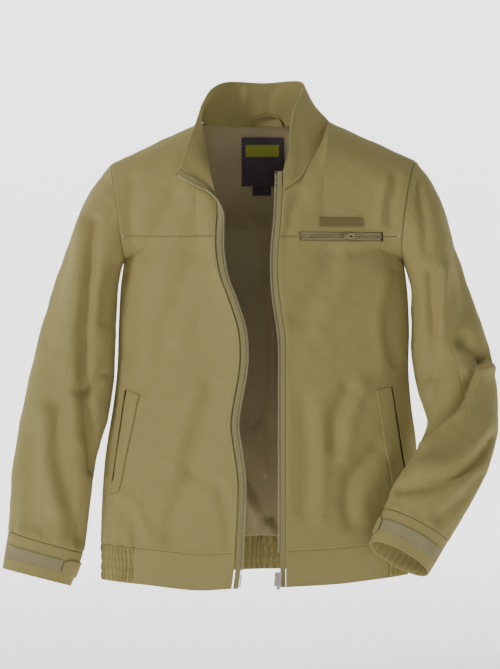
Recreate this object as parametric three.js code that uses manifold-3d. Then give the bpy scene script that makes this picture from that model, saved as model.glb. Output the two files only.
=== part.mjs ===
// A casual zip-front jacket, worn open, in millimetres.
// X runs to the viewer's right, the front faces -Y and +Z is up. The origin is the middle of the back
// neck seam. Right and left in names are the wearer's, so everything of the right side has negative X.

import * as THREE from 'three';
import { mergeVertices } from 'three/addons/utils/BufferGeometryUtils.js';
import Module from 'manifold-3d';

const wasm = await Module();
wasm.setup();

// ---- driving dimensions ----
const SHOULDER_WIDTH = 474; // across the back, armhole to armhole
const BODY_LENGTH = 706; // back neck seam to the lowest point of the front hem
const BODY_DEPTH = 150; // back to front at the chest
const YOKE_DROP = 172; // back neck seam down to the chest yoke seam
const HEM_HEIGHT = 54; // waistband
const CUFF_HEIGHT = 55;
const SHELL = 1.6; // shell cloth with its turned seams
const LINING = 1.0;
const LAYER_GAP = 0.5; // between two layers of cloth
const SEAM_GAP = 0.45; // between two panels that are sewn edge to edge
const TAPE_WIDTH = 8; // part of the zip tape that shows
const TAPE = 0.9;
const CHAIN_WIDTH = 3.2; // zip teeth, across
const CHAIN = 2.6; // zip teeth, front to back
const POCKET_ZIP_LENGTH = 126;
const POCKET_ZIP_HEIGHT = 13;
const BAG_WALL = 0.9;
const BAG_SLACK = 0.9; // a bag hangs this much behind the shell
const BAG_DEPTH = 10.6; // outside depth of a pocket bag
const TAB_WIDTH = 26; // cuff tab and its loop strip, along the sleeve
const SLIDER_LENGTH = 11;
const MID_Y = -50; // side seams and shoulder seams

// ---- grading: outline points are drawn for this size and follow the driving dimensions ----
const DRAWN = { shoulder: 474, length: 706, depth: 150 };
const wide = SHOULDER_WIDTH / DRAWN.shoulder;
const long = BODY_LENGTH / DRAWN.length;
const deep = BODY_DEPTH / DRAWN.depth;
const at = (x, y, z) => new THREE.Vector3(x * wide, y * deep, z * long);

// ---- materials ----
const cloth = (color, roughness = 0.85, metalness = 0) => new THREE.MeshStandardMaterial({ color, roughness, metalness });
const SHELL_CLOTH = cloth(0xaa9e73);
const LINING_CLOTH = cloth(0x8d7f5c, 0.55);
const LOOP_TAPE = cloth(0xaea481, 0.95);
const ZIP_TAPE = cloth(0xb3a880, 0.8);
const ZIP_METAL = cloth(0xcfc79a, 0.35, 0.8);
const BRIGHT_METAL = cloth(0xb9b8b2, 0.3, 0.9);
const DARK_CLOTH = cloth(0x6f6540, 0.8);
const LABEL_CLOTH = cloth(0x40343a, 0.8);

// ---- small helpers ----
const lerp = THREE.MathUtils.lerp;
const smooth = (t) => THREE.MathUtils.smoothstep(t, 0, 1);
const steps = (a, b, n) => Array.from({ length: n + 1 }, (_, i) => lerp(a, b, i / n));

// A smooth curve through points, by share of its length.
function curve(points) {
  const line = new THREE.CatmullRomCurve3(points, false, 'centripetal');
  return (t) => line.getPointAt(THREE.MathUtils.clamp(t, 0, 1));
}

// Several curves one after another, each over its own stretch between knots.
function chained(parts, knots) {
  return (t) => {
    let k = 0;
    while (k < parts.length - 1 && t > knots[k + 1]) k += 1;
    return parts[k]((t - knots[k]) / (knots[k + 1] - knots[k]));
  };
}

function bisect(test, low, high) {
  for (let i = 0; i < 30; i += 1) {
    const mid = (low + high) / 2;
    if (test(mid)) low = mid;
    else high = mid;
  }
  return (low + high) / 2;
}

// The unit normal of a surface, on the side that the sign picks.
function normalOf(surface, u, v) {
  const e = 0.004;
  const du = surface.at(u + e, v).sub(surface.at(u - e, v));
  const dv = surface.at(u, v + e).sub(surface.at(u, v - e));
  return du.cross(dv).normalize().multiplyScalar(surface.sign);
}

// Gives a surface the sign that makes its normal point along the hint at its middle.
function facing(at2, hint) {
  const surface = { at: at2, sign: 1 };
  if (normalOf(surface, 0.5, 0.5).dot(hint) < 0) surface.sign = -1;
  return surface;
}

function geometryOf(points, faces) {
  let volume = 0;
  for (const [a, b, c] of faces) volume += points[a].dot(points[b].clone().cross(points[c]));
  const turned = volume < 0 ? faces.map(([a, b, c]) => [a, c, b]) : faces;
  const geometry = new THREE.BufferGeometry();
  geometry.setAttribute('position', new THREE.Float32BufferAttribute(points.flatMap((p) => p.toArray()), 3));
  geometry.setIndex(turned.flat());
  return geometry;
}

// A layer of cloth: the grid of a surface, given a thickness from low to high along its normal.
// vs is a list, or a function that gives a list for each u. closed joins the last u to the first.
function layer(surface, us, vs, low, high, closed = false) {
  const rows = us.map((u) => (typeof vs === 'function' ? vs(u) : vs));
  const nu = us.length;
  const nv = rows[0].length;
  const value = (f, i, j) => (typeof f === 'function' ? f(i / (nu - 1), j / (nv - 1)) : f);
  const points = [];
  for (const side of [high, low]) {
    for (let i = 0; i < nu; i += 1) {
      for (let j = 0; j < nv; j += 1) {
        const p = surface.at(us[i], rows[i][j]);
        points.push(p.addScaledVector(normalOf(surface, us[i], rows[i][j]), value(side, i, j)));
      }
    }
  }
  const top = (i, j) => (i % nu) * nv + j;
  const under = (i, j) => nu * nv + top(i, j);
  const faces = [];
  const quad = (a, b, c, d) => faces.push([a, b, c], [a, c, d]);
  const cells = closed ? nu : nu - 1;
  for (let i = 0; i < cells; i += 1) {
    for (let j = 0; j < nv - 1; j += 1) {
      quad(top(i, j), top(i + 1, j), top(i + 1, j + 1), top(i, j + 1));
      quad(under(i, j), under(i, j + 1), under(i + 1, j + 1), under(i + 1, j));
    }
    quad(top(i, 0), under(i, 0), under(i + 1, 0), top(i + 1, 0));
    quad(top(i, nv - 1), top(i + 1, nv - 1), under(i + 1, nv - 1), under(i, nv - 1));
  }
  for (let j = 0; j < nv - 1 && !closed; j += 1) {
    quad(top(0, j), top(0, j + 1), under(0, j + 1), under(0, j));
    quad(top(nu - 1, j), under(nu - 1, j), under(nu - 1, j + 1), top(nu - 1, j + 1));
  }
  return geometryOf(points, faces);
}

// Booleans between closed geometries.
function solidOf(geometry) {
  const bare = geometry.clone();
  for (const name of Object.keys(bare.attributes)) if (name !== 'position') bare.deleteAttribute(name);
  const merged = mergeVertices(bare, 1e-4);
  return new wasm.Manifold(
    new wasm.Mesh({ numProp: 3, vertProperties: merged.attributes.position.array, triVerts: new Uint32Array(merged.index.array) }),
  );
}

function geometryFrom(solid) {
  const mesh = solid.getMesh();
  const geometry = new THREE.BufferGeometry();
  geometry.setAttribute('position', new THREE.BufferAttribute(mesh.vertProperties, 3));
  geometry.setIndex(new THREE.BufferAttribute(mesh.triVerts, 1));
  return geometry;
}

const cut = (body, ...tools) => geometryFrom(tools.reduce((s, t) => s.subtract(solidOf(t)), solidOf(body)));
const joined = (...bodies) => geometryFrom(bodies.slice(1).reduce((s, b) => s.add(solidOf(b)), solidOf(bodies[0])));

function box(x0, x1, y0, y1, z0, z1) {
  const geometry = new THREE.BoxGeometry(x1 - x0, y1 - y0, z1 - z0);
  return geometry.translate((x0 + x1) / 2, (y0 + y1) / 2, (z0 + z1) / 2);
}

// An upright prism along Y over a four-cornered outline in X and Z.
function prism(corners, y0, y1) {
  const shape = new THREE.Shape(corners.map(([x, z]) => new THREE.Vector2(x, z)));
  const geometry = new THREE.ExtrudeGeometry(shape, { depth: y1 - y0, bevelEnabled: false });
  return geometry.rotateX(Math.PI / 2).translate(0, y1, 0);
}

const jacket = new THREE.Group();
function piece(name, geometry, material) {
  const mesh = new THREE.Mesh(geometry, material);
  mesh.name = name;
  jacket.add(mesh);
  return mesh;
}

// ---- armholes: an ellipse from the shoulder tip down to the armpit and round the back ----
const ARMHOLES = {
  right: { tip: at(-231, MID_Y, -62), pit: at(-211, MID_Y, -204), depth: 42 * deep, scoop: 0 },
  left: { tip: at(230, MID_Y, -57), pit: at(211, MID_Y, -204), depth: 42 * deep, scoop: -9 * wide },
};

function armholePoint({ tip, pit, depth, scoop }, angle) {
  const p = tip.clone().add(pit).multiplyScalar(0.5);
  p.addScaledVector(tip.clone().sub(pit).multiplyScalar(0.5), Math.cos(angle));
  p.x += scoop * Math.abs(Math.sin(angle));
  p.y -= depth * Math.sin(angle);
  return p;
}

// ---- body panels ----
const SIDE_RIGHT = [[-217, -250], [-220, -312], [-222, -372], [-228, -426], [-241, -513], [-247, -630], [-246, -690]];
const SIDE_LEFT = [[217, -250], [220, -312], [219, -372], [223, -426], [231, -492], [224, -635], [220, -682]];
const ARMHOLE_SHARE = 0.29; // share of a panel's side edge that is armhole
const SIDE_SPLIT = 1.6; // front and back panel edges keep this far from the side seam line

// The outer edge of a front (way 1) or back (way -1) panel, from shoulder tip to hem.
function sideEdge(armhole, side, way) {
  const shift = new THREE.Vector3(0, -way * SIDE_SPLIT, 0);
  const hole = (t) => armholePoint(armhole, way * Math.PI * t).add(shift);
  const seam = curve([armholePoint(armhole, Math.PI), ...side.map(([x, z]) => at(x, MID_Y, z))]);
  return chained([hole, (t) => seam(t).add(shift)], [0, ARMHOLE_SHARE, 1]);
}

// A panel between four edges. X and Z blend all four; Y runs from side to side, meets the top edge
// and swells by belly(u, v, y of the straight line between the sides, y of the left side).
function panel({ top, bottom, left, right, belly, topFade, hint }) {
  const corner = [top(0), top(1), bottom(0), bottom(1)];
  const at2 = (u, v) => {
    const l = left(v);
    const r = right(v);
    const t = top(u);
    const b = bottom(u);
    const mix = (k) => lerp(l[k], r[k], u) + lerp(t[k], b[k], v)
      - lerp(lerp(corner[0][k], corner[1][k], u), lerp(corner[2][k], corner[3][k], u), v);
    const fade = (1 - THREE.MathUtils.clamp(v / topFade, 0, 1)) ** 2;
    const flat = lerp(l.y, r.y, u);
    const y = flat + (t.y - lerp(corner[0].y, corner[1].y, u)) * fade + belly(u, v, flat, l.y);
    return new THREE.Vector3(mix('x'), y, mix('z'));
  };
  return facing(at2, hint);
}

// Zip lines: the outer edge of the teeth, with the way the teeth point. Collar part first.
const ZIP_RIGHT = [
  [[-131, -124, -82], [-0.45, -0.15, -0.88]], [[-118, -127, -90], [-0.4, -0.2, -0.9]],
  [[-99, -129, -100], [-0.35, -0.35, -0.86]], [[-82, -131, -108], [-0.2, -0.75, -0.62]],
  [[-68, -131, -121], [0.25, -0.9, -0.3]], [[-59.5, -129, -140], [0.8, -0.55, -0.1]],
  [[-59, -127, -160], [0.97, -0.2, 0]], [[-59, -127, -190], [1, 0, 0]], [[-53, -128, -230], [1, 0, 0]],
  [[-38.5, -128, -270], [1, 0, 0]], [[-26, -128, -310], [1, 0, 0]], [[-22.5, -127, -350], [1, 0, 0]],
  [[-25, -126, -380], [1, 0, 0]], [[-33, -125, -425], [1, 0, 0]], [[-36.5, -123, -455], [1, 0, 0]],
  [[-31.5, -121, -495], [1, 0, 0]], [[-26, -119, -540], [1, 0, 0]], [[-28, -117, -610], [1, 0, 0]],
  [[-31.5, -115, -672], [1, 0, 0]], [[-35, -114, -700], [1, 0, 0]],
];
const STRAIGHT_X = 20.5;
const STRAIGHT_Y = -122;
const STRAIGHT_TOP = -340;
const ZIP_LEFT = [
  [[16, -116, -75], [-1, 0, 0]], [[15.5, -121, -103], [-1, 0, 0]], [[13.5, -122, -145], [-1, 0, 0]],
  [[9.5, STRAIGHT_Y, -190], [-1, 0, 0]], [[9, STRAIGHT_Y, -235], [-1, 0, 0]],
  [[13.5, STRAIGHT_Y, -280], [-1, 0, 0]], [[19, STRAIGHT_Y, -315], [-1, 0, 0]],
  ...[0, 0.15, 0.4, 0.7, 1].map((t) => [[STRAIGHT_X, STRAIGHT_Y, lerp(STRAIGHT_TOP, -697, t)], [-1, 0, 0]]),
];

function zipLine(stations) {
  const points = stations.map(([p]) => at(...p));
  const ways = stations.map(([, a]) => new THREE.Vector3(...a).normalize());
  const spine = new THREE.CatmullRomCurve3(points, false, 'centripetal');
  const lean = new THREE.CatmullRomCurve3(ways, false, 'catmullrom');
  // A point at a share t of the stations, w millimetres along the way the teeth point.
  return (t, w = 0) => {
    const share = THREE.MathUtils.clamp(t, 0, 1);
    return spine.getPoint(share).addScaledVector(lean.getPoint(share).normalize(), w);
  };
}

const zipRight = zipLine(ZIP_RIGHT);
const zipLeft = zipLine(ZIP_LEFT);
const NECK_RIGHT = 4 / (ZIP_RIGHT.length - 1); // the neck seam's share along each zip
const NECK_LEFT = 1 / (ZIP_LEFT.length - 1);
// The folded edge of the cloth lies behind the teeth; the right edge waves and keeps more room.
const TAPE_BACK = -(CHAIN_WIDTH + SEAM_GAP + TAPE_WIDTH);
const EDGE_RIGHT = TAPE_BACK - 2.05;
const EDGE_LEFT = TAPE_BACK - 0.7;

const neckRight = at(-99, MID_Y, 0);
const neckLeft = at(97, MID_Y, 3);
const SHOULDER_SHARE = 0.55; // share of a front panel's top edge that is shoulder

function straight(a, b) {
  return (t) => a.clone().lerp(b, t);
}

const FRONT_SIDE = -90; // y at which the flat of a front meets its side
const TOP_FADE = 0.155; // share of the length over which a panel settles below the shoulder
function frontPanel(armhole, side, neck, neckCurve, zip, zipNeck, edge, bottomPoints) {
  const left = sideEdge(armhole, side, 1);
  const right = (v) => zip(lerp(zipNeck, 1, v), edge);
  const shoulder = straight(left(0), neck.clone().add(new THREE.Vector3(0, -SIDE_SPLIT, 0)));
  const neckLine = curve([shoulder(1), ...neckCurve, right(0)]);
  return panel({
    top: chained([shoulder, neckLine], [0, SHOULDER_SHARE, 1]),
    bottom: curve([left(1), ...bottomPoints, right(1)]),
    left, right, topFade: TOP_FADE,
    // flat across the chest, and rounding back to the side seam close to it
    belly: (u, v, flat, sideY) => (FRONT_SIDE * deep - sideY) * ((1 - u) - (1 - u) ** 7) * smooth(v / TOP_FADE),
    hint: new THREE.Vector3(0, -1, 0),
  });
}

const frontRight = frontPanel(ARMHOLES.right, SIDE_RIGHT, neckRight,
  [at(-90, -80, -38), at(-83, -107, -78)], zipRight, NECK_RIGHT, EDGE_RIGHT, [at(-181, -90, -695), at(-99, -110, -703)]);
const frontLeft = frontPanel(ARMHOLES.left, SIDE_LEFT, neckLeft,
  [at(87, -76, -28), at(70, -98, -58), at(52, -112, -87)], zipLeft, NECK_LEFT, EDGE_LEFT, [at(168, -90, -687), at(114, -105, -693)]);

const BACK_CREST = 16; // y of the middle of the back
const BACK_NECK_FROM = 0.28; // the back neck seam's share of the back panel's top edge
const backEdge = { right: sideEdge(ARMHOLES.right, SIDE_RIGHT, -1), left: sideEdge(ARMHOLES.left, SIDE_LEFT, -1) };
const backUp = new THREE.Vector3(0, SIDE_SPLIT, 0);
const back = panel({
  top: chained([
    straight(backEdge.right(0), neckRight.clone().add(backUp)),
    curve([neckRight.clone().add(backUp), at(-84, -22, 1), at(-48, -5, 0), at(0, 0, 0), at(48, -5, 0),
      at(84, -22, 2), neckLeft.clone().add(backUp)]),
    straight(neckLeft.clone().add(backUp), backEdge.left(0)),
  ], [0, BACK_NECK_FROM, 1 - BACK_NECK_FROM, 1]),
  bottom: curve([backEdge.right(1), at(-120, 0, -685), at(0, 0, -679), at(120, 0, -680), backEdge.left(1)]),
  left: backEdge.right, right: backEdge.left, topFade: 0.3,
  belly: (u, v, flat) => (BACK_CREST * deep - flat) * (1 - Math.abs(2 * u - 1) ** 2.6) * smooth(v / 0.22),
  hint: new THREE.Vector3(0, 1, 0),
});

// Shares of a panel at which it reaches a height, or the top of the waistband.
const shareAtHeight = (surface, u, z) => bisect((v) => surface.at(u, v).z > z, 0, 1);
const hemShare = (surface, u) => bisect((v) => surface.at(u, v).z - surface.at(u, 1).z > HEM_HEIGHT, 0, 1);
const span = (surface, u, v) => surface.at(u, v).distanceTo(surface.at(u, v + 0.01)) / 0.01; // mm for each share
const SIDE_INSET = 0.008;

const half = SHELL / 2;
const FACING_FROM = 0.75; // share of a front's width
const panelUs = [SIDE_INSET, 0.05, 0.1, 0.16, 0.23, 0.3, 0.38, 0.46, SHOULDER_SHARE, 0.65, FACING_FROM, 0.87, 1];
const yokeEnd = (s, u) => shareAtHeight(s, u, -YOKE_DROP);
const seamShare = (s, u, v) => SEAM_GAP / 2 / span(s, u, v);
const topStart = (s, u) => 1.3 / span(s, u, 0);

// Waist panels: between the yoke seam and the waistband seam.
const yokeRows = (s) => (u) => steps(topStart(s, u), yokeEnd(s, u) - seamShare(s, u, 0.2), 5);
const lowerRows = (s) => (u) => steps(yokeEnd(s, u) + seamShare(s, u, 0.2), hemShare(s, u) - seamShare(s, u, 0.9), 12);
const hemRows = (s) => (u) => steps(hemShare(s, u) + seamShare(s, u, 0.9), 1, 2);

// The place on a surface under a point in X and Z, by Newton steps.
function project(surface, x, z, start = [0.5, 0.5]) {
  let [u, v] = start;
  const e = 1e-4;
  for (let i = 0; i < 25; i += 1) {
    const p = surface.at(u, v);
    const pu = surface.at(u + e, v).sub(p).divideScalar(e);
    const pv = surface.at(u, v + e).sub(p).divideScalar(e);
    const det = pu.x * pv.z - pv.x * pu.z;
    const dx = x - p.x;
    const dz = z - p.z;
    const step = (t) => THREE.MathUtils.clamp(t, -0.1, 0.1);
    u = THREE.MathUtils.clamp(u + step((dx * pv.z - pv.x * dz) / det), 0, 1);
    v = THREE.MathUtils.clamp(v + step((pu.x * dz - dx * pu.z) / det), 0, 1);
  }
  return [u, v];
}

// A four-cornered patch that lies on a surface: corners are [x, z] in order round the patch.
function patchOn(surface, [c00, c10, c11, c01]) {
  const uv = (s, t) => {
    const x = lerp(lerp(c00[0], c10[0], s), lerp(c01[0], c11[0], s), t);
    const z = lerp(lerp(c00[1], c10[1], s), lerp(c01[1], c11[1], s), t);
    return project(surface, x, z);
  };
  const hint = normalOf(surface, ...uv(0.5, 0.5));
  return facing((s, t) => surface.at(...uv(s, t)), hint);
}
const graded = (corners) => corners.map(([x, z]) => [x * wide, z * long]);

// ---- hand pockets: a welt over a slit, and a bag behind it ----
const SLIT_WIDTH = 5.5;
const POCKETS = {
  right: { outer: [[-206, -403], [-229, -560]], inner: [[-187, -410], [-217, -555]], way: -1 },
  left: { outer: [[190, -398], [213, -545]], inner: [[167, -403], [191, -545]], way: 1 },
};
const BAG_SPAN = 68; // from the slit towards the front edge
const BAG_DROP = 6; // below the slit

function pocketOutlines({ outer, inner, way }) {
  const [top, low] = graded(outer);
  const [innerTop, innerLow] = graded(inner);
  const out = (p, d) => [p[0] + way * d, p[1]];
  return {
    slit: [out(top, 0.4), out(top, SLIT_WIDTH), out(low, SLIT_WIDTH), out(low, 0.4)],
    welt: [top, innerTop, innerLow, low],
    bag: [out(top, SLIT_WIDTH), out(top, -BAG_SPAN), out([top[0], low[1] - BAG_DROP], -BAG_SPAN), out(low, SLIT_WIDTH)],
  };
}

// A flat bag on the inside of a surface, open along its first edge towards the slit in front of it.
function pocketBag(surface, outline, mouth) {
  const start = -half - LAYER_GAP - BAG_SLACK;
  const skin = patchOn(surface, outline);
  const outside = layer(skin, steps(0, 1, 9), steps(0, 1, 6), start - BAG_DEPTH, start);
  const inset = BAG_WALL / BAG_SPAN;
  const hollow = layer(skin, steps(inset, 1 - inset, 9), steps(inset, 1 - inset, 6), start - BAG_DEPTH + BAG_WALL, start - BAG_WALL);
  return cut(outside, hollow, mouth);
}

const chestAt = { x0: 53 * wide, z: -YOKE_DROP };
const chestX1 = chestAt.x0 + POCKET_ZIP_LENGTH;
const slot = box(chestAt.x0, chestX1, -200, -60, chestAt.z - POCKET_ZIP_HEIGHT / 2, chestAt.z + POCKET_ZIP_HEIGHT / 2);

const sides = {
  right: { front: frontRight, pocket: pocketOutlines(POCKETS.right), tools: [] },
  left: { front: frontLeft, pocket: pocketOutlines(POCKETS.left), tools: [slot] },
};
const LINING_TOP = -half - LAYER_GAP; // outer face of the facing and the lining
const BAG_ROOM = BAG_DEPTH + BAG_SLACK + LAYER_GAP + 1.6;

for (const [side, { front, pocket, tools }] of Object.entries(sides)) {
  const slit = prism(pocket.slit, -200, -40);
  const yoke = layer(front, panelUs, yokeRows(front), -half, half);
  const lower = layer(front, panelUs, lowerRows(front), -half, half);
  piece(`${side}_yoke`, tools.length ? cut(yoke, ...tools) : yoke, SHELL_CLOTH);
  piece(`${side}_front`, cut(lower, slit, ...tools), SHELL_CLOTH);

  // waistband: plain cloth in front, a gathered elastic stretch at the side
  const elasticEnd = side === 'right' ? 0.27 : 0.22;
  piece(`${side}_waistband`, layer(front, steps(elasticEnd + 0.003, 1, 5), hemRows(front), -half, half), SHELL_CLOTH);
  piece(`${side}_side_elastic`, layer(front, steps(SIDE_INSET, elasticEnd, 3), hemRows(front), -half, half), SHELL_CLOTH);

  // inside: a facing along the zip and a lining from it to the side seam
  const allRows = (u) => [...yokeRows(front)(u), ...lowerRows(front)(u)];
  const insideUs = panelUs.filter((u) => u > SIDE_INSET && u < FACING_FROM);
  piece(`${side}_facing`, layer(front, [FACING_FROM + 0.003, 0.87, 0.994], (u) => allRows(u).slice(1), LINING_TOP - LINING, LINING_TOP), SHELL_CLOTH);
  const hollow = (s, t) => BAG_ROOM * smooth(Math.min(s, 1 - s) / 0.09) * smooth(Math.min(t, 1 - t) / 0.06);
  piece(`${side}_front_lining`, layer(front, [0.03, ...insideUs, FACING_FROM - 0.003], (u) => allRows(u).slice(1),
    (s, t) => LINING_TOP - LINING - hollow(s, t), (s, t) => LINING_TOP - hollow(s, t)), LINING_CLOTH);

  piece(`${side}_pocket_welt`, layer(patchOn(front, pocket.welt), steps(0, 1, 2), steps(0, 1, 5), half + 0.4, half + 2), SHELL_CLOTH);
  piece(`${side}_pocket_bag`, pocketBag(front, pocket.bag, slit), LINING_CLOTH);
}

const backInner = [0.06, 0.11, 0.19, BACK_NECK_FROM, 0.35, 0.42, 0.5, 0.58, 0.65, 1 - BACK_NECK_FROM, 0.81, 0.89, 0.94];
const BACK_ROWS = [0, 0.03, 0.06, 0.1, 0.14, 0.19, 0.25, 0.31, 0.39, 0.49, 0.61, 0.74, 0.87, 1]; // closer where it curves
const backRows = (u) => BACK_ROWS.map((t) => lerp(topStart(back, u), hemShare(back, u) - seamShare(back, u, 0.9), t));
piece('back_panel', layer(back, [SIDE_INSET / 2, ...backInner, 1 - SIDE_INSET / 2], backRows, -half, half), SHELL_CLOTH);
piece('back_lining', layer(back, backInner, (u) => backRows(u).slice(1), LINING_TOP - LINING, LINING_TOP), LINING_CLOTH);
piece('back_waistband', layer(back, steps(SIDE_INSET / 2, 1 - SIDE_INSET / 2, 10), hemRows(back), -half, half), SHELL_CLOTH);

// ---- collar: from the right front round the neck to the left front, folded open on the right ----
const collarBase = curve([zipRight(NECK_RIGHT, EDGE_RIGHT).add(new THREE.Vector3(-0.5, -0.5, 1.2)), at(-81.5, -112.5, -76), at(-88, -85, -36), at(-97, -54, 3), at(-84, -22, 1), at(-48, -5, 0),
  at(0, 0, 0), at(48, -5, 0), at(84, -22, 2), neckLeft, at(87, -76, -28), at(70, -98, -58), at(50.5, -114.5, -87), zipLeft(NECK_LEFT, EDGE_LEFT)]);
const collarTop = curve([zipRight(0, EDGE_RIGHT), at(-116, -112, -38), at(-101, -96, 2), at(-89, -74, 33), at(-77, -48, 54), at(-57, -24, 65),
  at(0, -6, 65), at(57, -24, 65), at(56, -48, 46), at(44, -74, 17), at(39, -92, -12), at(37, -106, -46), at(32, -112, -62), zipLeft(0, EDGE_LEFT)]);
const collarMid = (u) => collarBase(u).lerp(collarTop(u), 0.5);
const collar = facing((u, v) => {
  const p = collarBase(u).lerp(collarTop(u), v);
  return p.add(collarMid(u).sub(at(0, -60, 0)).setZ(0).normalize().multiplyScalar(5 * v * (1 - v)));
}, new THREE.Vector3(0, 1, 0));
const COLLAR_US = steps(0, 1, 24);
const COLLAR_VS = steps(0.055, 1, 3);
piece('collar_outer', layer(collar, COLLAR_US, COLLAR_VS, LAYER_GAP / 2, LAYER_GAP / 2 + 1.4), SHELL_CLOTH);
piece('collar_inner', layer(collar, COLLAR_US, COLLAR_VS, -LAYER_GAP / 2 - 1.4, -LAYER_GAP / 2), SHELL_CLOTH);

// ---- front zip: tapes, teeth, stops, slider, pull, pin and box ----
function ribbon(zip, from, to) {
  return facing((s, t) => zip(t, lerp(from, to, s)), new THREE.Vector3(0, -1, 0));
}
const ZIPS = { right: { zip: zipRight, n: 58 }, left: { zip: zipLeft, n: 36 } };
const PIN_SHARE = 0.985;
for (const [side, { zip, n }] of Object.entries(ZIPS)) {
  const tape = ribbon(zip, TAPE_BACK, -CHAIN_WIDTH - SEAM_GAP);
  piece(`${side}_zip_tape`, layer(tape, [0, 1], steps(0, 1, n), -TAPE / 2, TAPE / 2), ZIP_TAPE);
  const teeth = ribbon(zip, -CHAIN_WIDTH, 0);
  piece(`${side}_zip_teeth`, layer(teeth, [0, 1], steps(0.007, PIN_SHARE - 0.03, n), -CHAIN / 2, CHAIN / 2), ZIP_METAL);
  piece(`${side}_top_stop`, layer(teeth, [-0.05, 1.1], [0, 0.0045], -CHAIN / 2 - 0.3, CHAIN / 2 + 0.3), BRIGHT_METAL);
}
piece('insertion_pin', layer(ribbon(zipRight, -CHAIN_WIDTH, 0), [0.1, 0.75], steps(PIN_SHARE - 0.027, PIN_SHARE + 0.01, 3), -1.1, 1.1), BRIGHT_METAL);

const straightX = STRAIGHT_X * wide;
const straightY = STRAIGHT_Y * deep;
const zipEndZ = zipLeft(1).z;
const boxTop = zipEndZ + 11;
piece('retainer_box', joined(
  box(straightX - 5.5, straightX + 5, straightY - 3, straightY - 1, boxTop - 9, boxTop),
  box(straightX - 5.5, straightX + 5, straightY + 1, straightY + 3, boxTop - 9, boxTop),
  box(straightX - 5.5, straightX + 2.6, straightY - 1.5, straightY + 1.5, boxTop - 9, boxTop - 0.6),
), BRIGHT_METAL);

// A zip slider round the origin: teeth run along Z, the tape leaves towards +X, the pull hangs
// to -Z in front. It is two plates, their rims, a post between them and an arch for the pull.
const SLIDER = { half: 5.2, gap: CHAIN / 2 + 0.45, plate: 1.1, rim: 0.9, tapeSlot: TAPE / 2 + 0.4 };
function sliderBody() {
  const { half: w, gap, plate, rim, tapeSlot } = SLIDER;
  const l = SLIDER_LENGTH / 2;
  const parts = [];
  for (const way of [-1, 1]) {
    const y = (a, b) => [Math.min(way * a, way * b), Math.max(way * a, way * b)];
    parts.push(box(-w, w, ...y(gap, gap + plate), -l, l));
    for (const x of [-w, w - rim]) parts.push(box(x, x + rim, ...y(tapeSlot, gap + 0.2), -l, l));
  }
  parts.push(box(-w + 0.2, -w + 2.4, -gap - 0.2, gap + 0.2, 0, l));
  const face = -gap - plate;
  const reach = PULL.arch;
  parts.push(box(-0.8, 0.8, face - reach - 1, face + 0.3, 2.6, 3.6));
  parts.push(box(-0.8, 0.8, face - reach - 1, face + 0.3, -3.6, -2.6));
  parts.push(box(-0.8, 0.8, face - reach - 1, face - reach, -3.6, 3.6));
  return joined(...parts);
}
// The pull: a plate with a window whose top bar lies under the slider's arch, which is its pivot.
const PULL = { arch: 2.0, bar: 1.2, width: 5, length: 20, window: 5 };
const pivotY = -(SLIDER.gap + SLIDER.plate + PULL.arch / 2);
function pullTab() {
  const { bar, width, length, window } = PULL;
  const plate = box(-width / 2, width / 2, -bar / 2, bar / 2, -length, bar / 2);
  const eye = box(-1.3, 1.3, -bar, bar, -window, -bar / 2);
  return cut(plate, eye).translate(0, pivotY, 0);
}
const sliderX = straightX + SLIDER.half - 4.6;
const sliderZ = boxTop + SLIDER_LENGTH / 2 + 0.35;
piece('zip_slider', sliderBody().translate(sliderX, straightY, sliderZ), BRIGHT_METAL);
piece('zip_pull', pullTab().translate(sliderX, straightY, sliderZ), BRIGHT_METAL);

// ---- chest pocket: its zip lies in a slot along the yoke seam ----
const chestEnds = [chestAt.x0, chestX1].map((x) => {
  const [u, v] = project(frontLeft, x, chestAt.z, [0.5, 0.25]);
  return frontLeft.at(u, v);
});
const chestY = (chestEnds[0].y + chestEnds[1].y) / 2;
const chestTurn = Math.atan2(chestEnds[1].y - chestEnds[0].y, chestX1 - chestAt.x0);
const chest = new THREE.Group();
chest.position.set((chestAt.x0 + chestX1) / 2, chestY, chestAt.z);
chest.rotation.z = chestTurn;
jacket.add(chest);
function chestPiece(name, geometry, material) {
  const mesh = new THREE.Mesh(geometry, material);
  mesh.name = name;
  chest.add(mesh);
}
const chestHalf = POCKET_ZIP_LENGTH / 2 - 1.4;
for (const [name, way] of [['upper', 1], ['lower', -1]]) {
  const z = (a, b) => [Math.min(way * a, way * b), Math.max(way * a, way * b)];
  chestPiece(`chest_zip_${name}_tape`, box(-chestHalf, chestHalf, -0.4, 0.4, ...z(2.4, POCKET_ZIP_HEIGHT / 2 - 0.6)), ZIP_TAPE);
  chestPiece(`chest_zip_${name}_teeth`, box(-chestHalf + 2.4, chestHalf - 2.4, -0.8, 0.8, ...z(0.3, 2)), ZIP_METAL);
}
chestPiece('chest_zip_end_stop', box(chestHalf - 2, chestHalf - 0.4, -1.3, 1.3, -1.8, 1.8), BRIGHT_METAL);
const chestSliderAt = 4;
function chestSliderBody() {
  const gap = 1.2;
  const parts = [];
  for (const way of [-1, 1]) {
    const y = (a, b) => [Math.min(way * a, way * b), Math.max(way * a, way * b)];
    parts.push(box(-5, 5, ...y(gap, gap + 0.9), -3.2, 3.2));
  }
  // the post between the plates runs in the gap between the two rows of teeth
  parts.push(box(-4.4, 4.4, -gap - 0.2, gap + 0.2, -0.12, 0.12));
  const face = -gap - 0.9;
  parts.push(box(-3.4, -2.5, face - 2.9, face + 0.2, -0.8, 0.8));
  parts.push(box(2.5, 3.4, face - 2.9, face + 0.2, -0.8, 0.8));
  parts.push(box(-3.4, 3.4, face - 2.9, face - 2, -0.8, 0.8));
  return joined(...parts);
}
const CHEST_PIVOT_Y = -1.2 - 0.9 - 1;
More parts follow.
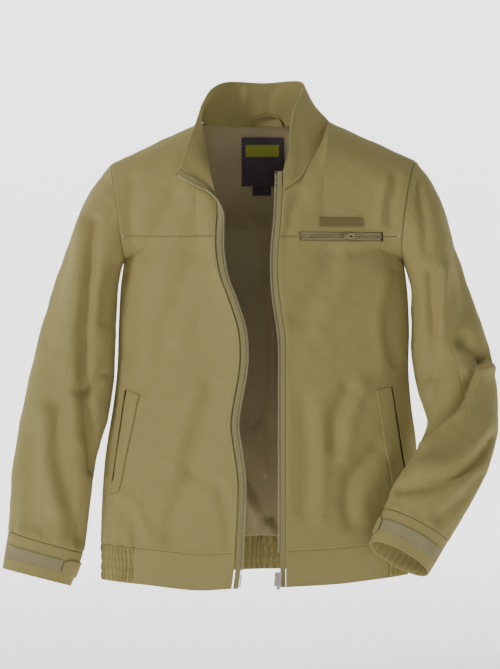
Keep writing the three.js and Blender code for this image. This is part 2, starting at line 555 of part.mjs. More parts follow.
function ringPull() {
  const bar = box(-0.6, 0.6, -0.6, 0.6, -2.4, 2.4);
  const rails = [-1, 1].map((way) => box(-0.6, 6, -0.6, 0.6, way > 0 ? 1.2 : -2.4, way > 0 ? 2.4 : -1.2));
  const ring = new THREE.ExtrudeGeometry(new THREE.Shape().absellipse(0, 0, 5.5, 4, 0, Math.PI * 2), { depth: 1.2, bevelEnabled: false, curveSegments: 10 });
  const hole = new THREE.ExtrudeGeometry(new THREE.Shape().absellipse(0, 0, 3.9, 2.6, 0, Math.PI * 2), { depth: 3, bevelEnabled: false, curveSegments: 10 });
  ring.rotateX(Math.PI / 2).translate(10, 0.6, 0);
  hole.rotateX(Math.PI / 2).translate(10, 1.5, 0);
  return geometryFrom(solidOf(joined(bar, ...rails)).add(solidOf(ring)).subtract(solidOf(hole))).translate(0, CHEST_PIVOT_Y, 0);
}
chestPiece('chest_zip_slider', chestSliderBody().translate(chestSliderAt, 0, 0), DARK_CLOTH);
chestPiece('chest_zip_pull', ringPull().translate(chestSliderAt, 0, 0), ZIP_METAL);

const CHEST_BAG_DROP = 120;
const CHEST_BAG_INSET = [52, 12]; // from the two ends of the zip
const chestBagX = [chestAt.x0 + CHEST_BAG_INSET[0], chestX1 - CHEST_BAG_INSET[1]];
const chestBagTop = chestAt.z + 9;
const chestBagLow = chestAt.z - CHEST_BAG_DROP;
const chestBagOutline = [[chestBagX[0], chestBagTop], [chestBagX[1], chestBagTop], [chestBagX[1], chestBagLow], [chestBagX[0], chestBagLow]];
const chestMouth = box(chestBagX[0] - chest.position.x - 1, chestBagX[1] - chest.position.x + 1, -20, 5, -5, 5)
  .rotateZ(chestTurn).translate(chest.position.x, chestY, chestAt.z);
piece('chest_pocket_bag', pocketBag(frontLeft, chestBagOutline, chestMouth), LINING_CLOTH);
piece('chest_patch', layer(patchOn(frontLeft, graded([[83, -144.6], [148, -144.6], [148, -157.6], [83, -157.6]])), steps(0, 1, 5), [0, 1], half + 1.1, half + 2), DARK_CLOTH);

// ---- sleeves and cuffs ----
// Stations: outer edge [x, z], inner edge [x, z], middle y, half depth, and how far the front is lifted.
const SLEEVES = {
  right: [
    [[-231, -62], [-211, -204], -50, 42, 0], [[-262, -104], [-220, -240], -50, 43, 0], [[-290, -168], [-224, -290], -50, 43, 0],
    [[-315, -238], [-226.5, -345], -50, 42, 0], [[-337, -313], [-229, -395], -52, 40, 0], [[-353, -380], [-236, -440], -55, 38, 0],
    [[-367, -450], [-250, -490], -60, 36, 0], [[-380, -530], [-259, -545], -66, 34, 0], [[-385, -614], [-273, -646], -72, 31, 0],
    [[-393, -672], [-292, -698], -76, 29, 2],
  ],
  left: [
    [[230, -57], [211, -204], -50, 42, 0], [[262, -104], [221, -243], -50, 43, 0], [[290, -188], [224.5, -298], -50, 43, 0],
    [[318, -270], [225, -355], -50, 42, 0], [[341, -345], [234, -408], -56, 40, 0], [[352, -425], [246, -452], -76, 38, 2],
    [[344, -492], [233, -486], -106, 35, 4], [[320, -548], [214, -514], -132, 32, 6], [[293, -594], [195, -542], -142, 30, 8],
    [[275, -623], [181, -574], -144, 29, 9], [[243, -677], [158, -629], -146, 28, 14],
  ],
};

function tube(stations, ring) {
  const outer = new THREE.CatmullRomCurve3(stations.map(([o, , y]) => at(o[0], y, o[1])), false, 'centripetal');
  const inner = new THREE.CatmullRomCurve3(stations.map(([, i, y]) => at(i[0], y, i[1])), false, 'centripetal');
  const sizes = new THREE.CatmullRomCurve3(stations.map(([, , , d, lift]) => new THREE.Vector3(d * deep, lift, 0)), false, 'catmullrom');
  const regular = (u, v) => {
    const o = outer.getPoint(v);
    const i = inner.getPoint(v);
    const size = sizes.getPoint(v);
    const middle = o.clone().add(i).multiplyScalar(0.5);
    const across = o.clone().sub(i).multiplyScalar(0.5);
    const up = new THREE.Vector3(-across.z, 0, across.x).normalize(); // along the sleeve
    const sign = up.z > 0 ? 1 : -1;
    const angle = 2 * Math.PI * u;
    middle.addScaledVector(across, Math.cos(angle));
    middle.y -= size.x * Math.sin(angle);
    return middle.addScaledVector(up, sign * size.y * Math.sin(angle));
  };
  const at2 = (u, v) => {
    const t = THREE.MathUtils.clamp(v, 0, 1);
    const pull = (1 - Math.min(t / 0.15, 1)) ** 2;
    const shift = armholePoint(ring, 2 * Math.PI * u).sub(regular(u, 0)).multiplyScalar(pull);
    return regular(u, t).add(shift);
  };
  const surface = { at: at2, sign: 1 };
  const out = surface.at(0, 0.5).sub(surface.at(0.5, 0.5));
  if (normalOf(surface, 0, 0.5).dot(out) < 0) surface.sign = -1;
  return surface;
}

const UNDER_FROM = 0.235; // the two sleeve seams, as shares of the way round
const UNDER_TO = 0.745;
for (const [side, stations] of Object.entries(SLEEVES)) {
  const sleeve = tube(stations, ARMHOLES[side]);
  const middle = (v) => sleeve.at(0, v).add(sleeve.at(0.5, v)).multiplyScalar(0.5);
  const cuffShare = bisect((v) => middle(v).distanceTo(middle(1)) > CUFF_HEIGHT, 0, 1);
  const length = 640 * long;
  const start = 0.45 / length;
  const gap = SEAM_GAP / length;
  const round = 0.0011;
  const rows = steps(start, cuffShare - gap, 12);
  const upperUs = steps(UNDER_TO - 1 + round, UNDER_FROM - round, 10);
  const underUs = steps(UNDER_FROM + round, UNDER_TO - round, 10);
  piece(`${side}_upper_sleeve`, layer(sleeve, upperUs, rows, -half, half), SHELL_CLOTH);
  piece(`${side}_under_sleeve`, layer(sleeve, underUs, rows, -half, half), SHELL_CLOTH);
  piece(`${side}_sleeve_lining`, layer(sleeve, [...upperUs, ...underUs.slice(1, -1)], rows, LINING_TOP - LINING, LINING_TOP, true), LINING_CLOTH);
  const cuffUs = steps(0, 1, 20).slice(0, 20);
  piece(`${side}_cuff`, layer(sleeve, cuffUs, steps(cuffShare + gap, 1, 4), -half - 0.6, half, true), SHELL_CLOTH);

  // a tab sewn at the inner edge lies over a strip of loop tape on the front of the cuff
  const tabMid = lerp(cuffShare, 1, 0.5);
  const tabReach = TAB_WIDTH / 2 / CUFF_HEIGHT * (1 - cuffShare);
  const tabVs = [tabMid - tabReach, tabMid + tabReach];
  const stripVs = steps(tabMid - tabReach * 0.8, tabMid + tabReach * 0.8, 1);
  const tabEnd = side === 'right' ? 0.36 : 0.44;
  piece(`${side}_cuff_loop_strip`, layer(sleeve, steps(0.05, tabEnd - 0.008, 12), stripVs, half + 0.6, half + 1.3), LOOP_TAPE);
  piece(`${side}_cuff_tab`, layer(sleeve, steps(tabEnd, 0.5, 6), tabVs, half + 0.6, half + 2.1), SHELL_CLOTH);
}

// ---- back neck: hanger loop and two labels ----
const LABEL_TOP = LINING_TOP - LINING - 1.7;
piece('neck_label', layer(patchOn(back, graded([[-34, -16], [31, -16], [31, -92], [-34, -92]])), steps(0, 1, 4), steps(0, 1, 4), LABEL_TOP - 0.9, LABEL_TOP), LABEL_CLOTH);
piece('size_label', layer(patchOn(back, graded([[-17, -92.7], [11, -92.7], [11, -106.5], [-17, -106.5]])), steps(0, 1, 2), steps(0, 1, 1), LABEL_TOP - 0.9, LABEL_TOP), LABEL_CLOTH);
const LOOP = { half: 23, rise: 15, width: 5, thick: 1.6 };
const loopY = -5.2;
const loopPath = new THREE.CatmullRomCurve3([[-1, -4], [-0.94, 4], [-0.6, 12], [0, 15], [0.6, 12], [0.94, 4], [1, -4]]
  .map(([s, z]) => new THREE.Vector3(5 * wide + s * LOOP.half, loopY, z)), false, 'centripetal');
const strap = new THREE.Shape([[-LOOP.thick, -LOOP.width], [LOOP.thick, -LOOP.width], [LOOP.thick, LOOP.width], [-LOOP.thick, LOOP.width]]
  .map(([x, y]) => new THREE.Vector2(x / 2, y / 2)));
piece('hanger_loop', new THREE.ExtrudeGeometry(strap, { steps: 24, extrudePath: loopPath, bevelEnabled: false }), SHELL_CLOTH);

export default jacket;
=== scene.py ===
# %% [markdown]
# # A zip-front jacket, worn open
#
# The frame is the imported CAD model: metres, +Z up, the front faces -Y and +X is the wearer's left. The
# shapes below are worked in millimetres, as a maker of clothes would, and turned into metres when a mesh is
# made. Every piece of cloth lies on the same surface as its CAD solid, with the folds, gathers, stitching
# and edges that the plain solid doesn't have.

# %% Frame
import math
import bpy
import numpy as np
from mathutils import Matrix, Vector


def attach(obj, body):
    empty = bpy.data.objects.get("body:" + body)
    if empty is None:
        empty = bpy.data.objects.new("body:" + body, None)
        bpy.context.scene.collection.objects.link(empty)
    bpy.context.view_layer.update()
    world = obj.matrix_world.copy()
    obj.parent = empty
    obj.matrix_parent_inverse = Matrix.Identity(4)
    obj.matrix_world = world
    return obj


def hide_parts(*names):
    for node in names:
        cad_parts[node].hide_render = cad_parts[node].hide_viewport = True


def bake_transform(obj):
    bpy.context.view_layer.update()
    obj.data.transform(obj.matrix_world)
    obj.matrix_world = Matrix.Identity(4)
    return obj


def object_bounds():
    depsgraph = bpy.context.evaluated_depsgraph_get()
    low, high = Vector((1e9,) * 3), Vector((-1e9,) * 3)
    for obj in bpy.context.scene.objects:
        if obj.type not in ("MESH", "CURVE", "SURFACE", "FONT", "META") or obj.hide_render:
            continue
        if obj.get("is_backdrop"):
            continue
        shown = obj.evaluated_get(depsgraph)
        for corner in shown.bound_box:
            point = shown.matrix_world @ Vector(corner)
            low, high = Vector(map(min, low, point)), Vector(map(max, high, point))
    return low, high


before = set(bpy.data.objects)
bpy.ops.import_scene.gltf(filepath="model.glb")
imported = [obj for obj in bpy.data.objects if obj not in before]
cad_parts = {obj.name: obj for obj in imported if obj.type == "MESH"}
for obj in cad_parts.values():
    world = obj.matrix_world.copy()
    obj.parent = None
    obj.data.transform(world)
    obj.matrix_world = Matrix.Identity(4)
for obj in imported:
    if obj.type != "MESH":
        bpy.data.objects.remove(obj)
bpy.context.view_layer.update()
MM = 0.001
rng = np.random.default_rng(7)

# %% [markdown]
# ## Curves
#
# A smooth curve passes through a list of points. Between points 1 and 2 of four neighbours its centripetal
# tangent is
#
# m1 = ((p1 - p0) / d0 - (p2 - p0) / (d0 + d1) + (p2 - p1) / d1) * d1,   d = |p - q| ** 0.5
#
# and a cubic joins the two ends. A plain tangent is (p2 - p0) / 2.

# %% Curves
def spline(points, centripetal=True):
    """f(t) for an array t in 0..1, one stretch of t for each pair of points."""
    p = np.array(points, float)
    p = np.vstack([2 * p[0] - p[1], p, 2 * p[-1] - p[-2]])
    d = np.linalg.norm(np.diff(p, axis=0), axis=1) ** 0.5 if centripetal else np.ones(len(p) - 1)
    d = np.maximum(d, 1e-6)
    n = len(points) - 1

    def f(t):
        x = np.clip(np.asarray(t, float), 0, 1) * n
        i = np.minimum(x.astype(int), n - 1)
        w = (x - i)[..., None]
        a, b, c, e = p[i], p[i + 1], p[i + 2], p[i + 3]
        d0, d1, d2 = d[i][..., None], d[i + 1][..., None], d[i + 2][..., None]
        m1 = ((b - a) / d0 - (c - a) / (d0 + d1) + (c - b) / d1) * d1
        m2 = ((c - b) / d1 - (e - b) / (d1 + d2) + (e - c) / d2) * d1
        return b + m1 * w + (3 * (c - b) - 2 * m1 - m2) * w**2 + (2 * (b - c) + m1 + m2) * w**3

    return f


def curve(points):
    """The same curve, by share of its length."""
    f = spline(points)
    t = np.linspace(0, 1, 60 * len(points))
    run = np.concatenate([[0], np.cumsum(np.linalg.norm(np.diff(f(t), axis=0), axis=1))])
    return lambda s: f(np.interp(np.clip(s, 0, 1) * run[-1], run, t))


def chained(parts, knots):
    """Curves one after another, each between two knots."""
    def f(t):
        t = np.asarray(t, float)
        out = np.zeros(t.shape + (3,))
        for k, part in enumerate(parts):
            here = (t > knots[k]) if k else np.ones(t.shape, bool)
            out = np.where(here[..., None], part((t - knots[k]) / (knots[k + 1] - knots[k])), out)
        return out
    return f


def smooth(t):
    t = np.clip(t, 0, 1)
    return t * t * (3 - 2 * t)


def lerp(a, b, t):
    return a + (b - a) * t


def find(test, shape):
    """For each place, the largest share in 0..1 up to which test holds."""
    low, high = np.zeros(shape), np.ones(shape)
    for _ in range(26):
        mid = (low + high) / 2
        ok = test(mid)
        low, high = np.where(ok, mid, low), np.where(ok, high, mid)
    return (low + high) / 2

# %% [markdown]
# ## The jacket's sizes and outline
#
# The same numbers as in the CAD model, so that both models lie in one place.

# %% Sizes
MID_Y, YOKE_DROP, HEM, CUFF, HALF, GAP, SEAM = -50, 172, 54, 55, 0.8, 0.5, 0.45
CHAIN, TAPE_WIDTH = 3.2, 8
TAPE_BACK = -(CHAIN + SEAM + TAPE_WIDTH)
EDGE = {"right": TAPE_BACK - 2.05, "left": TAPE_BACK - 0.7}
ARMHOLE = {"right": ((-231, -62), (-211, -204), 0), "left": ((230, -57), (211, -204), -9)}
SIDE = {
    "right": [(-217, -250), (-220, -312), (-222, -372), (-228, -426), (-241, -513), (-247, -630),
        (-246, -690)],
    "left": [(217, -250), (220, -312), (219, -372), (223, -426), (231, -492), (224, -635), (220, -682)],
}


def armhole_point(side, angle):
    (x0, z0), (x1, z1), scoop = ARMHOLE[side]
    c, s = np.cos(angle), np.sin(angle)
    return np.stack([(x0 + x1) / 2 + (x0 - x1) / 2 * c + scoop * np.abs(s), MID_Y - 42 * s,
                     (z0 + z1) / 2 + (z0 - z1) / 2 * c], -1)


def side_edge(side, way):
    shift = np.array([0, -way * 1.6, 0])
    seam = curve([armhole_point(side, math.pi), *[(x, MID_Y, z) for x, z in SIDE[side]]])
    return chained([lambda t: armhole_point(side, way * math.pi * t) + shift, lambda t: seam(t) + shift],
        [0, 0.29, 1])


ZIP = {
    "right": [
        ((-131, -124, -82), (-0.45, -0.15, -0.88)), ((-118, -127, -90), (-0.4, -0.2, -0.9)),
        ((-99, -129, -100), (-0.35, -0.35, -0.86)), ((-82, -131, -108), (-0.2, -0.75, -0.62)),
        ((-68, -131, -121), (0.25, -0.9, -0.3)), ((-59.5, -129, -140), (0.8, -0.55, -0.1)),
        ((-59, -127, -160), (0.97, -0.2, 0)), ((-59, -127, -190), (1, 0, 0)),
        ((-53, -128, -230), (1, 0, 0)),
        ((-38.5, -128, -270), (1, 0, 0)), ((-26, -128, -310), (1, 0, 0)), ((-22.5, -127, -350), (1, 0, 0)),
        ((-25, -126, -380), (1, 0, 0)), ((-33, -125, -425), (1, 0, 0)), ((-36.5, -123, -455), (1, 0, 0)),
        ((-31.5, -121, -495), (1, 0, 0)), ((-26, -119, -540), (1, 0, 0)), ((-28, -117, -610), (1, 0, 0)),
        ((-31.5, -115, -672), (1, 0, 0)), ((-35, -114, -700), (1, 0, 0)),
    ],
    "left": [
        ((16, -116, -75), (-1, 0, 0)), ((15.5, -121, -103), (-1, 0, 0)), ((13.5, -122, -145), (-1, 0, 0)),
        ((9.5, -122, -190), (-1, 0, 0)), ((9, -122, -235), (-1, 0, 0)), ((13.5, -122, -280), (-1, 0, 0)),
        ((19, -122, -315), (-1, 0, 0)),
        *[((20.5, -122, lerp(-340, -697, t)), (-1, 0, 0)) for t in (0, 0.15, 0.4, 0.7, 1)],
    ],
}


def zip_line(stations):
    spine = spline([p for p, _ in stations])
    ways = np.array([w for _, w in stations], float)
    lean = spline(ways / np.linalg.norm(ways, axis=1)[:, None], centripetal=False)

    def f(t, w=0.0):
        way = lean(t)
        return spine(t) + way / np.linalg.norm(way, axis=-1)[..., None] * np.asarray(w, float)[..., None]

    return f


zips = {side: zip_line(stations) for side, stations in ZIP.items()}
NECK_SHARE = {"right": 4 / (len(ZIP["right"]) - 1), "left": 1 / (len(ZIP["left"]) - 1)}
NECK = {"right": np.array([-99, MID_Y, 0.0]), "left": np.array([97, MID_Y, 3.0])}

# %% [markdown]
# ## Surfaces
#
# A panel fills the space between four edges. Its X and Z blend all four edges,
#
# P(u, v) = (1-u) L(v) + u R(v) + (1-v) T(u) + v B(u) - the blend of the four corners
#
# and its Y runs from side to side with a belly. Each surface also says on which side its outside lies.

# %% Surfaces
def normals(surface, u, v):
    e = 0.004
    du = surface["at"](u + e, v) - surface["at"](u - e, v)
    dv = surface["at"](u, v + e) - surface["at"](u, v - e)
    n = np.cross(du, dv)
    return n / np.maximum(np.linalg.norm(n, axis=-1), 1e-9)[..., None] * surface["sign"]


def facing(at, hint, where=(0.5, 0.5)):
    surface = {"at": at, "sign": 1}
    n = normals(surface, *[np.array([float(w)]) for w in where])[0]
    surface["sign"] = 1 if n @ np.array(hint) >= 0 else -1
    return surface


def straight(a, b):
    return lambda t: a + (b - a) * np.asarray(t, float)[..., None]


def panel(top, bottom, left, right, belly, fade_to, hint):
    ends = np.array([0.0, 1.0])
    (c00, c10), (c01, c11) = top(ends), bottom(ends)

    def at(u, v):
        u, v = np.broadcast_arrays(np.asarray(u, float), np.asarray(v, float))
        l, r, t, b = left(v), right(v), top(u), bottom(u)
        a, c = u[..., None], v[..., None]
        p = lerp(l, r, a) + lerp(t, b, c) - lerp(lerp(c00, c10, a), lerp(c01, c11, a), c)
        flat = lerp(l[..., 1], r[..., 1], u)
        fade = (1 - np.clip(v / fade_to, 0, 1)) ** 2
        p[..., 1] = flat + (t[..., 1] - lerp(c00[1], c10[1], u)) * fade + belly(u, v, flat, l[..., 1])
        return p

    return facing(at, hint)


def front_panel(side, neck_points, bottom_points):
    left = side_edge(side, 1)
    right = lambda v: zips[side](lerp(NECK_SHARE[side], 1, v), EDGE[side])
    shoulder = straight(left(0.0), NECK[side] + (0, -1.6, 0))
    neck = curve([shoulder(1.0), *neck_points, right(0.0)])
    belly = lambda u, v, flat, y: (-90 - y) * ((1 - u) - (1 - u) ** 7) * smooth(v / 0.155)
    return panel(chained([shoulder, neck], [0, 0.55, 1]), curve([left(1.0), *bottom_points, right(1.0)]),
                 left, right, belly, 0.155, (0, -1, 0))


fronts = {
    "right": front_panel("right", [(-90, -80, -38), (-83, -107, -78)],
        [(-181, -90, -695), (-99, -110, -703)]),
    "left": front_panel("left", [(87, -76, -28), (70, -98, -58), (52, -112, -87)],
        [(168, -90, -687), (114, -105, -693)]),
}
edge_r, edge_l = side_edge("right", -1), side_edge("left", -1)
neck_r, neck_l = NECK["right"] + (0, 1.6, 0), NECK["left"] + (0, 1.6, 0)
back = panel(
    chained([straight(edge_r(0.0), neck_r),
             curve([neck_r, (-84, -22, 1), (-48, -5, 0), (0, 0, 0), (48, -5, 0), (84, -22, 2), neck_l]),
             straight(neck_l, edge_l(0.0))], [0, 0.28, 0.72, 1]),
    curve([edge_r(1.0), (-120, 0, -685), (0, 0, -679), (120, 0, -680), edge_l(1.0)]),
    edge_r, edge_l, lambda u, v, flat, y: (16 - flat) * (1 - np.abs(2 * u - 1) ** 2.6) * smooth(v / 0.22),
    0.3, (0, 1, 0))

collar_base = curve([zips["right"](NECK_SHARE["right"], EDGE["right"]) + (-0.5, -0.5, 1.2),
    (-81.5, -112.5, -76), (-88, -85, -36),
                     (-97, -54, 3), (-84, -22, 1), (-48, -5, 0), (0, 0, 0), (48, -5, 0), (84, -22, 2),
                     NECK["left"], (87, -76, -28),
                     (70, -98, -58), (50.5, -114.5, -87), zips["left"](NECK_SHARE["left"], EDGE["left"])])
collar_top = curve([zips["right"](0.0, EDGE["right"]), (-116, -112, -38), (-101, -96, 2), (-89, -74, 33),
    (-77, -48, 54),
                    (-57, -24, 65), (0, -6, 65), (57, -24, 65), (56, -48, 46), (44, -74, 17),
                    (39, -92, -12), (37, -106, -46),
                    (32, -112, -62), zips["left"](0.0, EDGE["left"])])


def collar_at(u, v):
    u, v = np.broadcast_arrays(np.asarray(u, float), np.asarray(v, float))
    a, b = collar_base(u), collar_top(u)
    out = ((a + b) / 2 - (0, -60, 0)) * (1, 1, 0)
    out /= np.linalg.norm(out, axis=-1)[..., None]
    return lerp(a, b, v[..., None]) + out * (5 * v * (1 - v))[..., None]


collar = facing(collar_at, (0, 1, 0))

SLEEVES = {
    "right": [
        ((-231, -62), (-211, -204), -50, 42, 0), ((-262, -104), (-220, -240), -50, 43, 0),
        ((-290, -168), (-224, -290), -50, 43, 0),
        ((-315, -238), (-226.5, -345), -50, 42, 0), ((-337, -313), (-229, -395), -52, 40, 0),
        ((-353, -380), (-236, -440), -55, 38, 0),
        ((-367, -450), (-250, -490), -60, 36, 0), ((-380, -530), (-259, -545), -66, 34, 0),
        ((-385, -614), (-273, -646), -72, 31, 0),
        ((-393, -672), (-292, -698), -76, 29, 2),
    ],
    "left": [
        ((230, -57), (211, -204), -50, 42, 0), ((262, -104), (221, -243), -50, 43, 0),
        ((290, -188), (224.5, -298), -50, 43, 0),
        ((318, -270), (225, -355), -50, 42, 0), ((341, -345), (234, -408), -56, 40, 0),
        ((352, -425), (246, -452), -76, 38, 2),
        ((344, -492), (233, -486), -106, 35, 4), ((320, -548), (214, -514), -132, 32, 6),
        ((293, -594), (195, -542), -142, 30, 8),
        ((275, -623), (181, -574), -144, 29, 9), ((243, -677), (158, -629), -146, 28, 14),
    ],
}


def tube(side):
    """A sleeve: u goes round it from the outer edge over the front, v goes down it."""
    st = SLEEVES[side]
    outer, inner = spline([(o[0], y, o[1]) for o, _, y, _, _ in st]), spline([(i[0], y, i[1]) for _, i, y,
        _, _ in st])
    size = spline([(d, lift, 0) for _, _, _, d, lift in st], centripetal=False)

    def regular(u, v):
        o, i, s = outer(v), inner(v), size(v)
        across = (o - i) / 2
        up = np.stack([-across[..., 2], np.zeros(u.shape), across[..., 0]], -1)
        up /= np.linalg.norm(up, axis=-1)[..., None]
        up *= np.where(up[..., 2] > 0, 1, -1)[..., None]
        a = 2 * np.pi * u
        p = (o + i) / 2 + across * np.cos(a)[..., None] + up * (s[..., 1] * np.sin(a))[..., None]
        p[..., 1] -= s[..., 0] * np.sin(a)
        return p

    def at(u, v):
        u, v = np.broadcast_arrays(np.asarray(u, float), np.clip(v, 0, 1))
        pull = (1 - np.minimum(v / 0.15, 1)) ** 2
        return regular(u, v) + (armhole_point(side, 2 * np.pi * u)
            - regular(u, np.zeros(u.shape))) * pull[..., None]

    surface = {"at": at, "sign": 1}
    one = np.array([0.0])
    out = at(one, one + 0.5) - at(one + 0.5, one + 0.5)
    surface["sign"] = 1 if (normals(surface, one, one + 0.5) * out).sum() >= 0 else -1
    return surface


sleeves = {side: tube(side) for side in SLEEVES}
print("surfaces ready")

# %% [markdown]
# ## Folds
#
# A fold is a line in the front view with a width and a height: below zero is a valley. A lip is a fold that
# laps over itself, high on the left of its line and low on the right:
#
# fold(d) = h exp(-(d / w)^2),   lip(d) = h tanh(d / 2.5) exp(-(d / w)^2)

# %% Folds
def to_line(x, z, line):
    """Distance to a line in the front view, signed: above zero on the left of its direction."""
    best, sign = np.full(x.shape, 1e9), np.ones(x.shape)
    for (x0, z0), (x1, z1) in zip(line, line[1:]):
        dx, dz = x1 - x0, z1 - z0
        t = np.clip(((x - x0) * dx + (z - z0) * dz) / (dx * dx + dz * dz), 0, 1)
        d = np.hypot(x - x0 - t * dx, z - z0 - t * dz)
        near = d < best
        sign = np.where(near, np.where(dx * (z - z0) - dz * (x - x0) >= 0, 1, -1), sign)
        best = np.where(near, d, best)
    return best * sign


def softened(line):
    """A curve through a fold's points, as short straight stretches."""
    return spline([(x, 0, z) for x, z in line])(np.linspace(0, 1, 5 * len(line)))[:, [0, 2]].tolist()


BODY_FOLDS = [
    (15, -2.6, [(-133, -112), (-153, -150), (-183, -196)]),
    (16, 1.6, [(-112, -120), (-130, -160), (-158, -205)]),
    (18, -3.0, [(-104, -205), (-130, -267), (-153, -308)]),
    (15, -2.4, [(-150, -340), (-166, -372), (-186, -398)]),
    (16, 1.8, [(-80, -215), (-108, -278), (-128, -330)]),
    (20, -3.2, [(-74, -405), (-96, -470), (-108, -516)]),
    (15, 1.8, [(-100, -400), (-122, -460), (-134, -510)]),
    (14, -2.6, [(-112, -530), (-136, -590), (-146, -630)]),
    (12, -2.0, [(-66, -548), (-56, -590), (-50, -630)]),
    (9, 1.8, [(-236, -540), (-218, -560), (-198, -574)]),
    (12, -2.0, [(-208, -585), (-196, -612), (-192, -636)]),
    (10, 1.6, [(-190, -585), (-178, -615), (-175, -636)]),
    (11, -2.0, [(-196, -90), (-200, -140), (-196, -190)]),
    (12, -1.8, [(-206, -230), (-196, -300), (-206, -350)]),
    (20, -2.4, [(104, -205), (84, -248), (58, -290)]), (16, 1.6, [(126, -215), (108, -262), (84, -310)]),
    (12, -3.0, [(126, -402), (106, -446), (106, -486)]), (14, 2.0, [(146, -398), (128, -450), (122, -500)]),
    (13, -2.8, [(168, -492), (138, -520), (124, -560), (130, -600)]),
    (14, 1.6, [(182, -520), (158, -546), (146, -580)]),
    (12, -2.2, [(54, -112), (42, -140), (34, -168)]), (9, -1.8, [(199, -84), (190, -120), (188, -150)]),
    (8, 1.4, [(184, -90), (177, -125), (175, -150)]), (10, -2.0, [(188, -178), (160, -188), (134, -196)]),
    (10, -2.2, [(201, -225), (188, -300), (196, -360)]), (12, 1.8, [(186, -230), (172, -300), (178, -360)]),
    (14, -1.8, [(58, -420), (64, -500), (60, -580)]), (12, 1.6, [(84, -430), (88, -510), (84, -590)]),
    (14, -2.2, [(186, -590), (176, -615), (172, -634)]),
]
SLEEVE_FOLDS = [
    (9, -5.0, [(-257, -150), (-264, -248), (-269, -313), (-270, -350), (-267, -418), (-261, -478),
        (-256, -522)]),
    (14, 3.0, [(-272, -150), (-282, -248), (-290, -340), (-288, -420), (-284, -480)]),
    (14, -3.4, [(-310, -430), (-306, -508), (-290, -570), (-273, -640)]),
    (14, 2.6, [(-330, -440), (-328, -510), (-312, -580)]),
    (16, -2.6, [(-346, -470), (-350, -540), (-345, -600)]),
    (10, -2.4, [(-222, -215), (-234, -250), (-240, -300)]),
    (14, -2.4, [(-300, -190), (-318, -260), (-328, -330)]),
    (8, -2.2, [(-243, -380), (-262, -400), (-280, -405)]),
    (10, -4.4, [(250, -230), (251, -268), (258, -343), (252, -380)]),
    (9, 3.4, [(271, -222), (268, -268), (265, -313), (259, -352), (251, -418)]),
    (14, -3.0, [(296, -200), (304, -262), (300, -320)]),
    (12, -5.0, [(300, -330), (322, -344), (346, -362)]),
    (9, 3.6, [(308, -374), (324, -373), (344, -370)]),
    (10, -4.6, [(200, -548), (264, -537), (309, -510), (341, -476)]),
    (14, 3.4, [(236, -516), (276, -508), (312, -480), (336, -446)]),
    (12, -3.0, [(262, -590), (292, -566), (320, -534)]),
    (9, -2.6, [(232, -94), (241, -140), (243, -190)]),
]
SLEEVE_LIPS = [(16, 5.5, [(334, -364), (322, -374), (309, -407), (294, -432), (275, -449), (240, -482)])]
LINING_FOLDS = [
    (12, -5, [(-30, -520), (0, -560), (22, -600)]), (12, 4, [(-36, -560), (-8, -596), (16, -626)]),
    (10, -4, [(22, -520), (6, -580), (-10, -628)]),
    (18, -4, [(-20, -230), (-6, -330), (-12, -440)]), (18, 3, [(8, -240), (14, -340), (10, -440)]),
    (10, -3, [(-60, -60), (-30, -90), (-10, -130)]),
    (9, 2.4, [(-52, -40), (-38, -66), (-36, -96)]),
]
COLLAR_FOLDS = [(8, -2.2, [(-38, 50), (-48, 28), (-50, 4)]), (9, 1.8, [(-26, 56), (-32, 30), (-36, 6)]),
    (8, -1.6, [(16, 56), (8, 34), (10, 12)]),
                (9, -2.2, [(-84, 20), (-78, -20), (-74, -60)]),
                (9, -2.0, [(50, -10), (56, -50), (50, -90)])]
for folds in (BODY_FOLDS, SLEEVE_FOLDS, SLEEVE_LIPS, LINING_FOLDS, COLLAR_FOLDS):
    folds[:] = [(w, h, softened(line)) for w, h, line in folds]


def folded(p, folds, lips=()):
    x, z = p[..., 0], p[..., 2]
    out = sum(h * np.exp(-((to_line(x, z, line) / w) ** 2)) for w, h, line in folds)
    for w, h, line in lips:
        d = to_line(x, z, line)
        out = out + h * np.tanh(d / 2.5) * np.exp(-((d / w) ** 2))
    return out


waves = [(rng.normal(size=3) / rng.uniform(70, 170) * 2.4, rng.uniform(0, 6.3), rng.uniform(0.15, 0.4))
    for _ in range(9)]
waves += [(rng.normal(size=3) / rng.uniform(18, 40) * 2.4, rng.uniform(0, 6.3), rng.uniform(0.03, 0.09))
    for _ in range(9)]


def hand(p):
    """The unevenness of real cloth, in millimetres: a few long waves and a few short ones."""
    return sum(a * np.sin(p @ k * 2.6 + s) for k, s, a in waves)


def ripple(s, period, seed):
    """Uneven gathers along a length s, from -1 to 1."""
    drift = 0.8 * np.sin(s / period * 0.83 + seed) + 0.6 * np.sin(s / period * 0.37 + 2 * seed)
    return np.sin(2 * np.pi * s / period + 2.2 * drift)


def front_drape(surface, share):
    """How far a front's cloth stands off its surface: folds, gathers above the elastic, and pucker along the seams."""
    def f(p, n, u, v):
        towards = np.clip(-n[..., 1], 0, 1)
        hem = np.interp(u, *share)
        above = np.exp(-np.clip((hem - v) * 690, 0, None) / 34)
        side_only = smooth((0.42 - u) / 0.2)
        gather = ripple(p[..., 0], 15, 1.7) * 1.7 * above * side_only
        edge = smooth((1 - u) / 0.06) * smooth(u / 0.03)
        edge = edge * (1 - np.exp(-(((p[..., 0] - 116) / 78) ** 6)
            - ((p[..., 2] + YOKE_DROP) / 17) ** 4))  # flat round the chest zip
        yoke = np.exp(-np.abs(p[..., 2] + YOKE_DROP) / 7) * ripple(p[..., 0], 9, 0.6) * 0.22
        return ((folded(p, BODY_FOLDS) * 2.1 + hand(p) * 0.8) * towards * edge * smooth((hem - v) / 0.03)
            + (gather * edge + yoke * edge) * (v < hem))
    return f

